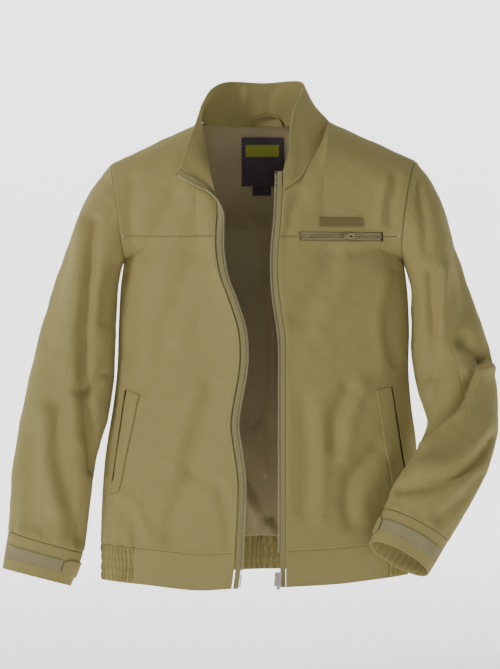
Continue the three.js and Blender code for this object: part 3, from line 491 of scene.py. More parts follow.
# %% [markdown]
# ## Cloth pieces
#
# A piece of cloth is a grid over its surface with a front and a back face. Its edges are rounded by close
# rows that grow thin, and rows of stitches lie on its front face. Each stitch is a small spindle along its
# row.

# %% Making cloth
STITCH, PITCH, THREAD = 2.3, 3.1, 0.3
HALF_GAP = SEAM / 2


def spaced(a, b, width, step=2.6, closed=False):
    """Shares from a to b about step millimetres apart on a strip of that width, closer at the two ends."""
    t = np.linspace(a, b, max(3, round(width / step)) + 1)
    if closed:
        return t[:-1]
    e = 0.4 / width * (b - a)
    return np.concatenate([[a, a + e, a + 3 * e], t[1:-1], [b - 3 * e, b - e, b]])


def quads_of(nu, nv, closed):
    i, j = np.meshgrid(np.arange(nu if closed else nu - 1), np.arange(nv - 1), indexing="ij")
    a, b = (i * nv + j).ravel(), ((i + 1) % nu * nv + j).ravel()
    top = np.stack([a, b, b + 1, a + 1], 1)
    under = top[:, ::-1] + nu * nv
    i = np.arange(nu if closed else nu - 1)
    n = (i + 1) % nu
    o = nu * nv
    rims = [np.stack([i * nv, i * nv + o, n * nv + o, n * nv], 1),
            np.stack([i * nv + nv - 1, n * nv + nv - 1, n * nv + nv - 1 + o, i * nv + nv - 1 + o], 1)]
    if not closed:
        j = np.arange(nv - 1)
        last = (nu - 1) * nv
        rims += [np.stack([j, j + 1, j + 1 + o, j + o], 1),
            np.stack([last + j, last + j + o, last + j + 1 + o, last + j + 1], 1)]
    return np.vstack([top, under, *rims])


def mesh_of(name, points, faces, uv=None, index=None):
    """A smooth mesh from points in millimetres, with its faces turned outwards."""
    tri = faces[:, :3] if isinstance(faces, np.ndarray) else np.array([f[:3] for f in faces])
    a, b, c = points[tri[:, 0]], points[tri[:, 1]], points[tri[:, 2]]
    volume = np.einsum("ij,ij->", a, np.cross(b, c))
    if isinstance(faces, np.ndarray) and faces.shape[1] == 4:
        d = points[faces[:, 3]]
        volume += np.einsum("ij,ij->", a, np.cross(c, d))
        if volume < 0:
            faces = faces[:, ::-1]
    mesh = bpy.data.meshes.new(name)
    mesh.from_pydata((points * MM).tolist(), [], faces.tolist() if isinstance(faces, np.ndarray) else faces)
    mesh.polygons.foreach_set("use_smooth", np.ones(len(mesh.polygons), bool))
    if uv is not None:
        layer = mesh.uv_layers.new(name="thread")
        loops = np.zeros(len(mesh.loops), int)
        mesh.loops.foreach_get("vertex_index", loops)
        layer.data.foreach_set("uv", (uv[loops] * MM).ravel())
    if index is not None:
        mesh.polygons.foreach_set("material_index", np.asarray(index, np.int32))
    return mesh


def spindles(points, ways, outs, length=STITCH, radius=THREAD):
    """Small closed spindles, one for each point, along ways and standing up along outs."""
    ways = ways / np.linalg.norm(ways, axis=1)[:, None]
    sides = np.cross(ways, outs)
    sides /= np.maximum(np.linalg.norm(sides, axis=1), 1e-9)[:, None]
    ring = [points + ways * (s * length * 0.3) + sides * (radius * x) + outs * (radius * y)
            for s in (-1, 1) for x, y in ((1, 0), (0, 1), (-1, 0), (0, -1))]
    v = np.stack([points - ways * length / 2, points + ways * length / 2, *ring], 1)
    f = []
    for k in range(4):
        n = (k + 1) % 4
        f += [[0, 2 + k, 2 + n, 0], [1, 6 + n, 6 + k, 1], [2 + k, 6 + k, 6 + n, 2 + n]]
    f = (np.array(f)[None] + np.arange(len(points))[:, None, None] * 10).reshape(-1, 4)
    return v.reshape(-1, 3), [list(dict.fromkeys(q)) for q in f[:, ::-1].tolist()]


def place_rows(surface, rows, high, drape):
    """The stitches of several rows, each given as shares u and v along it."""
    at, ways, outs = [], [], []
    for u, v in rows:
        u, v = np.broadcast_arrays(np.asarray(u, float), np.asarray(v, float))
        p, n = surface["at"](u, v), normals(surface, u, v)
        p = p + n * (high - 0.02 + (drape(p, n, u, v) if drape else 0))[...,
            None] if drape else p + n * (high - 0.02)
        run = np.concatenate([[0], np.cumsum(np.linalg.norm(np.diff(p, axis=0), axis=1))])
        s = np.arange(PITCH, run[-1] - PITCH / 2, PITCH)
        if len(s) == 0:
            continue
        pick = lambda q, x: np.stack([np.interp(x, run, q[:, k]) for k in range(3)], 1)
        at.append(pick(p, s))
        ways.append(pick(p, s + 0.8) - pick(p, s - 0.8))
        outs.append(pick(n, s))
    return (np.vstack(at), np.vstack(ways), np.vstack(outs)) if at else None


made = []


def finish_piece(name, mesh, mats, body, nodes, bend=None):
    obj = bpy.data.objects.new(name.replace(" ", "_"), mesh)
    bpy.context.scene.collection.objects.link(obj)
    for m in mats:
        mesh.materials.append(m)
    if bend:
        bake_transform(obj)
    else:
        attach(obj, body)
    if nodes:
        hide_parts(*nodes)
    made.append(obj)
    return obj


def cloth(name, surface, us, vs, low, high, mat, body, nodes, closed=False, drape=None, rows=(),
    cutters=(), bend=None,
          fullness=1.0, thin=0.3, declare=True):
    """One piece of cloth. fullness is the flat width over the width it is gathered to."""
    v = vs(us) if callable(vs) else np.tile(vs, (len(us), 1))
    u = np.repeat(us[:, None], v.shape[1], 1)
    p, n = surface["at"](u, v), normals(surface, u, v)
    lift = drape(p, n, u, v) if drape else np.zeros(u.shape)
    round_off = np.ones(u.shape)
    round_off[:, [0, -1]], round_off[:, [1, -2]] = thin, 0.8
    if not closed:
        round_off[[0, -1], :] = thin
        round_off[[1, -2], :] = np.minimum(round_off[[1, -2], :], 0.8)
    low, high = [f(u, v) if callable(f) else np.full(u.shape, float(f)) for f in (low, high)]
    mid = (low + high) / 2
    top = p + n * (lift + mid + (high - mid) * round_off)[..., None]
    under = p + n * (lift + mid - (mid - low) * round_off)[..., None]
    nu, nv = u.shape
    du = np.linalg.norm(np.diff(p, axis=0), axis=-1)
    dv = np.linalg.norm(np.diff(p, axis=1), axis=-1)
    s = np.vstack([np.zeros((1, nv)), np.cumsum(du, 0)])
    t = np.hstack([np.zeros((nu, 1)), np.cumsum(dv, 1)])
    uv = np.stack([s, t], -1).reshape(-1, 2)
    mesh = mesh_of(name, np.vstack([top.reshape(-1, 3), under.reshape(-1, 3)]), quads_of(nu, nv, closed),
        np.vstack([uv, uv]))
    if cutters:
        mesh = cut_out(mesh, cutters)
    placed = place_rows(surface, rows, float(high.flat[0]), drape) if rows else None
    if placed:
        add_to(mesh, *spindles(*placed))
    obj = finish_piece(name, mesh, [mat, THREAD_MAT], body, nodes, bend)
    if declare and min(s[-1].max() * fullness, t[:, -1].max()) > 11:  # narrower than that is a ribbon
        e1, e2 = np.diff(p, axis=0)[:, :-1], np.diff(p, axis=1)[:-1]
        area = np.linalg.norm(np.cross(e1, e2), axis=-1).sum() * 1e-6
        if closed:
            area *= nu / (nu - 1)
        width = s[-1].max() * MM * (nu / (nu - 1) if closed else 1) * fullness
        length = t[:, -1].max() * MM
        width, length = round(width, 4), round(length, 4)
        area = min(max(area * fullness, 0.31 * width * length), width * length)
        print(f"{name:24s} flat {width * 100:5.1f} x {length * 100:5.1f} cm, {len(mesh.polygons)} faces")
    return obj


def add_to(mesh, points, faces):
    """Adds closed shapes to a mesh, with its second material."""
    import bmesh
    bm = bmesh.new()
    bm.from_mesh(mesh)
    extra = mesh_of("extra", points, faces, index=np.ones(len(faces)))
    bm.from_mesh(extra)
    bm.to_mesh(mesh)
    bm.free()
    bpy.data.meshes.remove(extra)


def cut_out(mesh, cutters):
    """The mesh without what lies inside the closed cutters."""
    obj = bpy.data.objects.new("uncut", mesh)
    bpy.context.scene.collection.objects.link(obj)
    tools = []
    for points, faces in cutters:
        tool = bpy.data.objects.new("cutter", mesh_of("cutter", np.array(points, float), np.array(faces)))
        bpy.context.scene.collection.objects.link(tool)
        tools.append(tool)
        m = obj.modifiers.new("cut", "BOOLEAN")
        m.operation, m.solver, m.object = "DIFFERENCE", "EXACT", tool
    bpy.context.view_layer.update()
    out = bpy.data.meshes.new_from_object(obj.evaluated_get(bpy.context.evaluated_depsgraph_get()))
    for o in [obj, *tools]:
        bpy.data.objects.remove(o)
    out.polygons.foreach_set("use_smooth", np.ones(len(out.polygons), bool))
    return out


def block(outline, y0, y1):
    """A closed block over a four-cornered outline in X and Z."""
    pts = [(x, y, z) for y in (y0, y1) for x, z in outline]
    return pts, [(0, 1, 2, 3), (7, 6, 5, 4), (0, 4, 5, 1), (1, 5, 6, 2), (2, 6, 7, 3), (3, 7, 4, 0)]

# %% [markdown]
# ## Materials
#
# Cloth is a matte surface with a fine twill, a slight change of tone over a few centimetres and a soft
# sheen at grazing angles. The lining is smoother and catches the light.

# %% Materials
def nodes_of(mat):
    mat.use_nodes = True
    tree = mat.node_tree
    return tree, tree.nodes["Principled BSDF"]


def cloth_material(name, light, dark, rough=0.85, sheen=0.08, weave=1.0, wrinkle=0.5, tone_scale=5.0):
    mat = bpy.data.materials.new(name)
    tree, bsdf = nodes_of(mat)
    new, link = tree.nodes.new, tree.links.new
    where = new("ShaderNodeTexCoord")
    tone = new("ShaderNodeTexNoise")
    tone.inputs["Scale"].default_value, tone.inputs["Detail"].default_value = tone_scale, 5
    link(where.outputs["Object"], tone.inputs["Vector"])
    fleck = new("ShaderNodeTexNoise")
    fleck.inputs["Scale"].default_value, fleck.inputs["Detail"].default_value = 420, 2
    link(where.outputs["Object"], fleck.inputs["Vector"])
    add = new("ShaderNodeMath")
    add.operation = "MULTIPLY_ADD"
    add.inputs[1].default_value, add.inputs[2].default_value = 0.5, 0.0
    link(fleck.outputs["Fac"], add.inputs[0])
    both = new("ShaderNodeMath")
    both.operation = "MULTIPLY_ADD"
    both.inputs[1].default_value = 0.5
    link(tone.outputs["Fac"], both.inputs[0])
    link(add.outputs[0], both.inputs[2])
    mix = new("ShaderNodeMix")
    mix.data_type = "RGBA"
    mix.inputs["A"].default_value, mix.inputs["B"].default_value = (*dark, 1), (*light, 1)
    spread = new("ShaderNodeMapRange")
    spread.inputs["From Min"].default_value, spread.inputs["From Max"].default_value = 0.3, 0.7
    link(both.outputs[0], spread.inputs["Value"])
    link(spread.outputs["Result"], mix.inputs["Factor"])
    link(mix.outputs["Result"], bsdf.inputs["Base Color"])
    uv = new("ShaderNodeUVMap")
    uv.uv_map = "thread"
    wave = new("ShaderNodeTexWave")
    wave.bands_direction = "DIAGONAL"
    wave.inputs["Scale"].default_value, wave.inputs["Distortion"].default_value = 320, 0.6
    link(uv.outputs["UV"], wave.inputs["Vector"])
    fine = new("ShaderNodeBump")
    fine.inputs["Strength"].default_value, fine.inputs["Distance"].default_value = 0.25 * weave, 0.0002
    link(wave.outputs["Fac"], fine.inputs["Height"])
    crease = new("ShaderNodeTexNoise")
    crease.inputs["Scale"].default_value, crease.inputs["Detail"].default_value = 38, 4
    link(where.outputs["Object"], crease.inputs["Vector"])
    soft = new("ShaderNodeBump")
    soft.inputs["Strength"].default_value, soft.inputs["Distance"].default_value = wrinkle, 0.0016
    link(crease.outputs["Fac"], soft.inputs["Height"])
    link(fine.outputs["Normal"], soft.inputs["Normal"])
    link(soft.outputs["Normal"], bsdf.inputs["Normal"])
    bsdf.inputs["Roughness"].default_value = rough
    bsdf.inputs["Specular IOR Level"].default_value = 0.25
    bsdf.inputs["Sheen Weight"].default_value, bsdf.inputs["Sheen Roughness"].default_value = sheen, 0.4
    bsdf.inputs["Sheen Tint"].default_value = (*light, 1)
    return mat


def hard_material(name, color, rough, metal):
    mat = bpy.data.materials.new(name)
    tree, bsdf = nodes_of(mat)
    where, noise = tree.nodes.new("ShaderNodeTexCoord"), tree.nodes.new("ShaderNodeTexNoise")
    noise.inputs["Scale"].default_value = 300
    spread = tree.nodes.new("ShaderNodeMapRange")
    spread.inputs["To Min"].default_value, spread.inputs["To Max"].default_value = rough * 0.8, min(1,
        rough * 1.3)
    tree.links.new(where.outputs["Object"], noise.inputs["Vector"])
    tree.links.new(noise.outputs["Fac"], spread.inputs["Value"])
    tree.links.new(spread.outputs["Result"], bsdf.inputs["Roughness"])
    bsdf.inputs["Base Color"].default_value = (*color, 1)
    bsdf.inputs["Metallic"].default_value = metal
    return mat


def tint(color, k):
    return tuple(c * k for c in color)


KHAKI = (0.27, 0.226, 0.084)
SHELL_MAT = cloth_material("shell cloth", tint(KHAKI, 1.05), tint(KHAKI, 0.93))
LINING_MAT = cloth_material("lining satin", (0.36, 0.295, 0.155), (0.32, 0.262, 0.138), rough=0.42,
    sheen=0.1, weave=0.3, wrinkle=0.3)
TAPE_MAT = cloth_material("zip tape", (0.24, 0.205, 0.09), (0.21, 0.18, 0.08), rough=0.8, weave=1.5,
    wrinkle=0.1)
LOOP_MAT = cloth_material("loop tape", (0.27, 0.235, 0.125), (0.22, 0.19, 0.1), rough=0.95, sheen=0.2,
    weave=2.5, wrinkle=0.9, tone_scale=60)
PATCH_MAT = cloth_material("patch cloth", (0.16, 0.13, 0.05), (0.125, 0.1, 0.04), weave=1.5)
LABEL_MAT = cloth_material("label satin", (0.055, 0.036, 0.046), (0.045, 0.03, 0.038), rough=0.5, weave=0.5)
LIME_MAT = cloth_material("printed band", (0.3, 0.32, 0.03), (0.26, 0.28, 0.03), rough=0.6, weave=0.5)
THREAD_MAT = hard_material("sewing thread", tint(KHAKI, 0.8), 0.7, 0)
TEETH_MAT = hard_material("zip teeth", (0.4, 0.36, 0.2), 0.4, 0.3)
METAL_MAT = hard_material("zip metal", (0.4, 0.385, 0.33), 0.32, 1)
DARK_METAL_MAT = hard_material("painted metal", (0.17, 0.14, 0.055), 0.4, 0.4)
METALS = {"zip_slider": METAL_MAT, "zip_pull": METAL_MAT, "insertion_pin": METAL_MAT,
    "retainer_box": METAL_MAT,
          "right_top_stop": METAL_MAT, "left_top_stop": METAL_MAT, "chest_zip_end_stop": METAL_MAT,
          "chest_zip_slider": DARK_METAL_MAT, "chest_zip_pull": TEETH_MAT}
for name, mat in METALS.items():
    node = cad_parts[name]
    node.data.materials.clear()
    node.data.materials.append(mat)
    bevel = node.modifiers.new("worn edges", "BEVEL")
    bevel.width, bevel.segments, bevel.limit_method = 0.0002, 2, "ANGLE"
print("materials ready")

# %% [markdown]
# ## Fronts
#
# Each front is a yoke above the chest seam, a lower front, and a waistband that is plain in front and
# gathered on elastic at the side. Shares down the panel are found from heights, so that the seams run
# level.

# %% Rows down a panel
def span(s, u, v):
    return np.linalg.norm(s["at"](u, v) - s["at"](u, v + 0.01), axis=-1) / 0.01


def yoke_end(s, u):
    return find(lambda v: s["at"](u, v)[..., 2] > -YOKE_DROP, u.shape)


def hem_share(s, u):
    low = s["at"](u, np.ones(u.shape))[..., 2]
    return find(lambda v: s["at"](u, v)[..., 2] - low > HEM, u.shape)


def rows_between(start, end, height, step=2.6):
    def f(us):
        a, b = start(us), end(us)
        t = spaced(0, 1, height, step)
        return a[:, None] + (b - a)[:, None] * t[None]
    return f


def seam(s, u, v):
    return HALF_GAP / span(s, u, np.full(u.shape, v))


def yoke_rows(s, step=2.6):
    return rows_between(lambda u: 1.3 / span(s, u, np.zeros(u.shape)),
        lambda u: yoke_end(s, u) - seam(s, u, 0.2), 170, step)


def lower_rows(s, step=2.6):
    return rows_between(lambda u: yoke_end(s, u) + seam(s, u, 0.2),
        lambda u: hem_share(s, u) - seam(s, u, 0.9), 475, step)


def hem_rows(s, step=1.8):
    return rows_between(lambda u: hem_share(s, u) + seam(s, u, 0.9), lambda u: np.ones(u.shape), HEM, step)


def project(s, x, z, start=(0.5, 0.5)):
    """The shares of a surface's points at x and z, by Newton steps."""
    u, v = np.full(x.shape, start[0]), np.full(x.shape, start[1])
    e = 1e-4
    for _ in range(25):
        p = s["at"](u, v)
        pu, pv = (s["at"](u + e, v) - p) / e, (s["at"](u, v + e) - p) / e
        det = pu[..., 0] * pv[..., 2] - pv[..., 0] * pu[..., 2]
        dx, dz = x - p[..., 0], z - p[..., 2]
        u = np.clip(u + np.clip((dx * pv[..., 2] - pv[..., 0] * dz) / det, -0.1, 0.1), 0, 1)
        v = np.clip(v + np.clip((pu[..., 0] * dz - dx * pu[..., 2]) / det, -0.1, 0.1), 0, 1)
    return u, v


def patch_on(s, corners):
    """A four-cornered patch that lies on a surface."""
    c00, c10, c11, c01 = [np.array(c, float) for c in corners]

    def uv(a, b):
        a, b = np.broadcast_arrays(np.asarray(a, float), np.asarray(b, float))
        q = lerp(lerp(c00, c10, a[..., None]), lerp(c01, c11, a[..., None]), b[..., None])
        return project(s, q[..., 0], q[..., 1])

    mid = np.array([0.5])
    return facing(lambda a, b: s["at"](*uv(a, b)), normals(s, *uv(mid, mid))[0])


def gathers(surface, period, height, bands, seed, along=0):
    """Elastic cloth: puffs between rows of stitching that pinch it flat."""
    def f(p, n, u, v):
        hem = hem_share(surface, u[:, 0]) if u.ndim == 2 else hem_share(surface, u)
        hem = hem[:, None] if u.ndim == 2 else hem
        r = np.clip((v - hem) / np.maximum(1 - hem, 1e-6), 0, 1)
        s = p[..., 0] + 0.6 * p[..., 1] * np.sign(p[..., 0] + 1e-9)
        pinch = 0.3 + 0.7 * np.abs(np.sin(np.pi * bands * r)) ** 0.8
        wobble = 1.2 * np.sin(6.3 * r + 0.11 * s)
        return height * pinch * ripple(s + wobble, period, seed) + 0.4 * pinch
    return f


LINING_TOP = -HALF - GAP
SLITS = {"right": ((-206, -403), (-229, -560), -1), "left": ((190, -398), (213, -545), 1)}
WELTS = {"right": [(-206, -403), (-187, -410), (-217, -555), (-229, -560)],
    "left": [(190, -398), (167, -403), (191, -545), (213, -545)]}
ELASTIC_END = {"right": 0.27, "left": 0.22}
chest_z, chest_x0, chest_x1 = -YOKE_DROP, 53, 179
slot_box = block([(chest_x0, chest_z - 6.5), (chest_x1, chest_z - 6.5), (chest_x1, chest_z + 6.5),
    (chest_x0, chest_z + 6.5)], -200, -60)
long_way = np.linspace(0.02, 0.98, 260)

for side, s in fronts.items():
    top, low, way = SLITS[side]
    slit = block([(top[0] + way * 0.4, top[1]), (top[0] + way * 3.4, top[1]), (low[0] + way * 3.4, low[1]),
        (low[0] + way * 0.4, low[1])], -200, -40)
    tools = [slot_box] if side == "left" else []
    grid_u = np.linspace(0, 1, 60)
    drape = front_drape(s, (grid_u, hem_share(s, grid_u)))
    us = spaced(0.0005, 1, 247)
    near_edge = 1 - 7.5 / 240  # a row of stitches beside the zip
    armhole_row = 7 / 240
    cloth(f"{side} yoke cloth", s, us, yoke_rows(s), -HALF, HALF, SHELL_MAT, "jacket",
        [f"{side}_yoke"], drape=drape, cutters=tools,
          rows=[(near_edge, np.linspace(0.03, 0.19, 120)), (armhole_row, np.linspace(0.02, 0.2, 120))])
    v_hem = np.interp(long_way, grid_u, hem_share(s, grid_u))
    cloth(f"{side} front cloth", s, us, lower_rows(s), -HALF, HALF, SHELL_MAT, "jacket",
        [f"{side}_front"], drape=drape,
          cutters=[slit, *tools], rows=[(near_edge, np.linspace(0.2, 0.9, 400)),
          (long_way, yoke_end(s, long_way) + 2.5 / 690), (long_way, v_hem - 3 / 690)])
    e = ELASTIC_END[side]
    band = lambda r, a, b: (np.linspace(a, b, 120), lerp(hem_share(s, np.linspace(a, b, 120)), 1.0, r))
    cloth(f"{side} waistband cloth", s, spaced(e - 0.008, 1, 182), hem_rows(s), -HALF, HALF, SHELL_MAT,
        "jacket", [f"{side}_waistband"],
          drape=lambda p, n, u, v: hand(p) * 0.35,
          rows=[band(0.05, e + 0.01, 0.99), band(0.95, e + 0.01, 0.99),
              (near_edge, np.linspace(0.925, 0.998, 60))])
    gathered = gathers(s, 7.5, 2.1, 4, 0.4 + way)
    cloth(f"{side} side elastic cloth", s, spaced(0.008, e, 60, 1.1), hem_rows(s, 1.4), -HALF, HALF,
        SHELL_MAT, "jacket",
          [f"{side}_side_elastic"], drape=gathered,
          rows=[band(r, 0.02, e - 0.01) for r in (0.25, 0.5, 0.75)],
          fullness=1.25)
    cloth(f"{side} facing cloth", s, spaced(0.753, 0.994, 58, 4),
        lambda u: np.hstack([yoke_rows(s, 8)(u)[:, 4:-3], lower_rows(s, 8)(u)[:, 3:]]),
          LINING_TOP - 1, LINING_TOP, SHELL_MAT, "jacket", [f"{side}_facing"], drape=drape)
    room = lambda a, b: 13.6 * smooth(np.minimum((a - 0.03) / 0.717,
        1 - (a - 0.03) / 0.717) / 0.09) * smooth(np.minimum(b, 0.92 - b) / 0.06)
    cloth(f"{side} front lining satin", s, spaced(0.03, 0.747, 172, 6),
        lambda u: np.hstack([yoke_rows(s, 8)(u)[:, 4:-3], lower_rows(s, 8)(u)[:, 3:]]),
          lambda a, b: LINING_TOP - 1 - room(a, b), lambda a, b: LINING_TOP - room(a, b), LINING_MAT,
          "jacket", [f"{side}_front_lining"],
          drape=lambda p, n, u, v, d=drape: np.minimum(d(p, n, u, v), 0.0))
    welt = patch_on(s, WELTS[side])
    t = np.linspace(0.02, 0.98, 160)
    welt_drape = lambda p, n, u, v, d=drape: d(p, np.tile([0.0, -1, 0], p.shape[:-1] + (1,)),
        np.full(v.shape, 0.3), np.full(v.shape, 0.6)) * 0.9
    cloth(f"{side} pocket welt cloth", welt, spaced(0, 1, 21, 1.8), spaced(0, 1, 155, 2.4), HALF + 0.3,
        HALF + 2.1, SHELL_MAT, "jacket",
          [f"{side}_pocket_welt"], drape=welt_drape, rows=[(0.1, t), (0.9, t), (t, 0.02), (t, 0.98)])
    out = lambda q, d: (q[0] + way * d, q[1])
    bag = patch_on(s, [out(top, 5.5), out(top, -68), (top[0] - way * 68, low[1] - 6), out(low, 5.5)])
    swell = lambda a, b: 9.4 * smooth(np.minimum(a + 0.12, 1.02 - a) / 0.2) * smooth(np.minimum(b + 0.02,
        1.02 - b) / 0.12)
    start = -HALF - GAP - 0.9
    cloth(f"{side} pocket bag cloth", bag, np.linspace(0, 1, 24), np.linspace(0, 1, 40), lambda a,
        b: start - 1.1 - swell(a, b), start,
          LINING_MAT, "jacket", [f"{side}_pocket_bag"], drape=lambda p, n, u, v,
          d=welt_drape: np.minimum(d(p, n, u, v), 0.0) - 0.3)
print("fronts ready")

# %% [markdown]
# ## Back, lining and back waistband
#
# The lining is a loose satin skin in front of the back panel, so its folds stand out towards the opening.

# %% Back
us = spaced(0.004, 0.996, 520, 4)
back_drape = lambda p, n, u, v: -0.1 + np.maximum(0.1 + hand(p) * 1.6
    * smooth(np.minimum(u, 1 - u) / 0.05) + 1.6 * ripple(p[..., 0], 19, 0.9) * np.exp(
    -np.clip((hem_share(back, u[:, 0])[:, None] - v if u.ndim == 2 else hem_share(back, u) - v) * 690, 0,
        None) / 40), 0)
rows = rows_between(lambda u: 1.3 / span(back, u, np.zeros(u.shape)),
    lambda u: hem_share(back, u) - seam(back, u, 0.9), 630, 4)
cloth("back cloth", back, us, rows, -HALF, HALF, SHELL_MAT, "jacket", ["back_panel"],
    drape=back_drape)


def lining_drape(p, n, u, v):
    hem = hem_share(back, u[:, 0])[:, None]
    down = np.exp(-np.clip((hem - v) * 690, 0, None) / 55)
    soft = 1.6 * ripple(p[..., 0] + 0.12 * p[..., 2], 34,
        2.1) * (0.4 + 0.6 * down) + 2.2 * down * ripple(p[..., 0], 16, 0.3)
    clear = smooth((-p[..., 2] - 112) / 30)  # flat under the two labels
    return np.minimum(-(folded(p, LINING_FOLDS) * 1.2 + soft) * (0.12 + 0.88 * clear)
        * smooth(np.minimum(u, 1 - u) / 0.1 - 0.4) - 1.2 * clear, 0.3)


rows = rows_between(lambda u: 1.0 / span(back, u, np.zeros(u.shape)),
    lambda u: hem_share(back, u) + 2.5 / 690, 630, 3)
cloth("back lining satin", back, spaced(0.06, 0.94, 460, 3), rows, LINING_TOP - 1, LINING_TOP, LINING_MAT,
    "jacket", ["back_lining"],
      drape=lining_drape)
t = np.linspace(0.01, 0.99, 500)
cloth("back waistband cloth", back, spaced(0.004, 0.996, 500, 1.3), hem_rows(back, 1.6), -HALF, HALF,
    SHELL_MAT, "jacket", ["back_waistband"],
      drape=gathers(back, 7.5, 2.1, 4, 1.1),
      rows=[(t, lerp(hem_share(back, t), 1.0, r)) for r in (0.25, 0.5, 0.75)],
      fullness=1.25)

# %% [markdown]
# ## Collar
#
# One stiffened piece with a rolled top edge and a row of stitches along it.

# %% Collar
t = np.linspace(0.01, 0.99, 500)
collar_drape = lambda p, n, u, v: -folded(p,
    COLLAR_FOLDS) * 0.9 * np.sign(n[..., 1]
    + 1e-6) * smooth(np.minimum(u, 1 - u) / 0.03) * smooth(np.minimum(v, 1 - v) / 0.12) \
    + hand(p) * 0.5
cloth("collar cloth", collar, spaced(0, 1, 560, 2.4), spaced(-0.03, 1, 68, 1.8), -GAP / 2 - 1.4,
    GAP / 2 + 1.4, SHELL_MAT, "jacket",
      ["collar_outer", "collar_inner"], drape=collar_drape, rows=[(t, 0.93), (t, 0.12)],
      thin=0.45)
inner = place_rows(dict(collar, sign=-collar["sign"]), [(t, 0.93)], GAP / 2 + 1.4, lambda p, n, u,
    v: -collar_drape(p, -n, u, v))
finish_piece("collar inside stitches", mesh_of("stitches", *spindles(*inner)), [THREAD_MAT],
    "jacket", [])

# %% [markdown]
# ## Zips
#
# Each tape is a woven ribbon. Teeth stand along its edge, one every 2.9 mm on the front zip and every 2 mm
# on the chest zip.

# %% Zips
def tooth_row(at, ways, outs, along, pitch_width, depth, length):
    """Closed teeth, wide at the foot and narrow at the tip. at is the tip."""
    pts = []
    for k, w in ((0.0, 0.75), (0.45, 1.0), (1.0, 0.55)):
        for sx, sy in ((1, 1), (-1, 1), (-1, -1), (1, -1)):
            pts.append(at - ways * (k * length) + along * (sx * pitch_width * w / 2) + outs
                * (sy * depth * (0.8 if k == 0 else 1) / 2))
    v = np.stack(pts, 1)
    f = [[0, 1, 2, 3], [11, 10, 9, 8]]
    for r in (0, 4):
        for k in range(4):
            n = (k + 1) % 4
            f.append([r + k, r + 4 + k, r + 4 + n, r + n])
    f = (np.array(f)[None] + np.arange(len(at))[:, None, None] * 12).reshape(-1, 4)
    return v.reshape(-1, 3), f


def ribbon(z, a, b):
    return facing(lambda s, t: z(t, lerp(a, b, s)), (0, -1, 0))


for side, z in zips.items():
    tape = ribbon(z, TAPE_BACK, -CHAIN - SEAM)
    cloth(f"{side} zip tape cloth", tape, np.linspace(0, 1, 9), np.linspace(0, 1, 420), -0.45, 0.45,
        TAPE_MAT, "jacket", [f"{side}_zip_tape"],
          thin=0.6)
    t = np.linspace(0.007, 0.955, 4000)
    p = z(t, 0.0)
    run = np.concatenate([[0], np.cumsum(np.linalg.norm(np.diff(p, axis=0), axis=1))])
    t = np.interp(np.arange(1, run[-1], 2.9) + (1.45 if side == "left" else 0), run, t)
    t = t[t < 0.955]
    tip, foot = z(t, 0.0), z(t, -CHAIN)
    along = z(np.clip(t + 0.0008, 0, 1), 0.0) - z(t - 0.0008, 0.0)
    along /= np.linalg.norm(along, axis=1)[:, None]
    ways = (tip - foot) / CHAIN
    outs = np.cross(along, ways)
    outs /= np.linalg.norm(outs, axis=1)[:, None]
    finish_piece(f"{side} zip teeth",
        mesh_of("teeth", *tooth_row(tip, ways, outs, along, 1.6, 2.5, CHAIN)), [TEETH_MAT],
        "jacket",
                 [f"{side}_zip_teeth"])

ends = []
for x in (chest_x0, chest_x1):
    u, v = project(fronts["left"], np.array([float(x)]), np.array([float(chest_z)]), (0.5, 0.25))
    ends.append(fronts["left"]["at"](u, v)[0])
turn = math.atan2(ends[1][1] - ends[0][1], chest_x1 - chest_x0)
centre = np.array([(chest_x0 + chest_x1) / 2, (ends[0][1] + ends[1][1]) / 2, chest_z])
ca, sa = math.cos(turn), math.sin(turn)


def chest_place(q):
    q = np.asarray(q, float)
    return np.stack([centre[0] + ca * q[..., 0] - sa * q[..., 1],
        centre[1] + sa * q[..., 0] + ca * q[..., 1], centre[2] + q[..., 2]], -1)


for name, way in (("upper", 1), ("lower", -1)):
    flat = facing(lambda a, b,
        way=way: chest_place(np.stack(np.broadcast_arrays(lerp(-61.6, 61.6, np.asarray(b)), 0.0 * a,
            way * lerp(5.9, 2.4, np.asarray(a))), -1)), (0, -1, 0))
    cloth(f"chest zip {name} tape cloth", flat, np.linspace(0, 1, 6), np.linspace(0, 1, 120), -0.4, 0.4,
        TAPE_MAT, "jacket",
          [f"chest_zip_{name}_tape"], thin=0.6)
    x = np.arange(-58.8, 58.8, 2.0) + (1.0 if way > 0 else 0)
    n = len(x)
    tip = chest_place(np.stack([x, np.zeros(n), np.full(n, way * 0.3)], 1))
    ways = np.tile([0, 0, -way * 1.0], (n, 1))
    along, outs = np.tile([ca, sa, 0], (n, 1)), np.tile([sa, -ca, 0], (n, 1))
    finish_piece(f"chest zip {name} teeth",
        mesh_of("teeth", *tooth_row(tip, ways, outs, along, 1.1, 1.6, 1.8)), [TEETH_MAT],
        "jacket",
                 [f"chest_zip_{name}_teeth"])
left = fronts["left"]
flat_drape = lambda p, n, u, v: 0.15 * hand(p)
bag_x = (chest_x0 + 52, chest_x1 - 12)
bag = patch_on(left, [(bag_x[0], chest_z + 9), (bag_x[1], chest_z + 9), (bag_x[1], chest_z - 120),
    (bag_x[0], chest_z - 120)])
swell = lambda a, b: 9.4 * smooth(np.minimum(a + 0.02, 1.02 - a) / 0.15) * smooth(np.minimum(b + 0.3,
    1.02 - b) / 0.1)
cloth("chest pocket bag cloth", bag, np.linspace(0, 1, 24), np.linspace(0, 1, 36), lambda a,
    b: -3.3 - swell(a, b), -HALF - GAP - 0.9 - 3, LINING_MAT,
      "jacket", ["chest_pocket_bag"])
patch = patch_on(left, [(83, -144.6), (148, -144.6), (148, -157.6), (83, -157.6)])
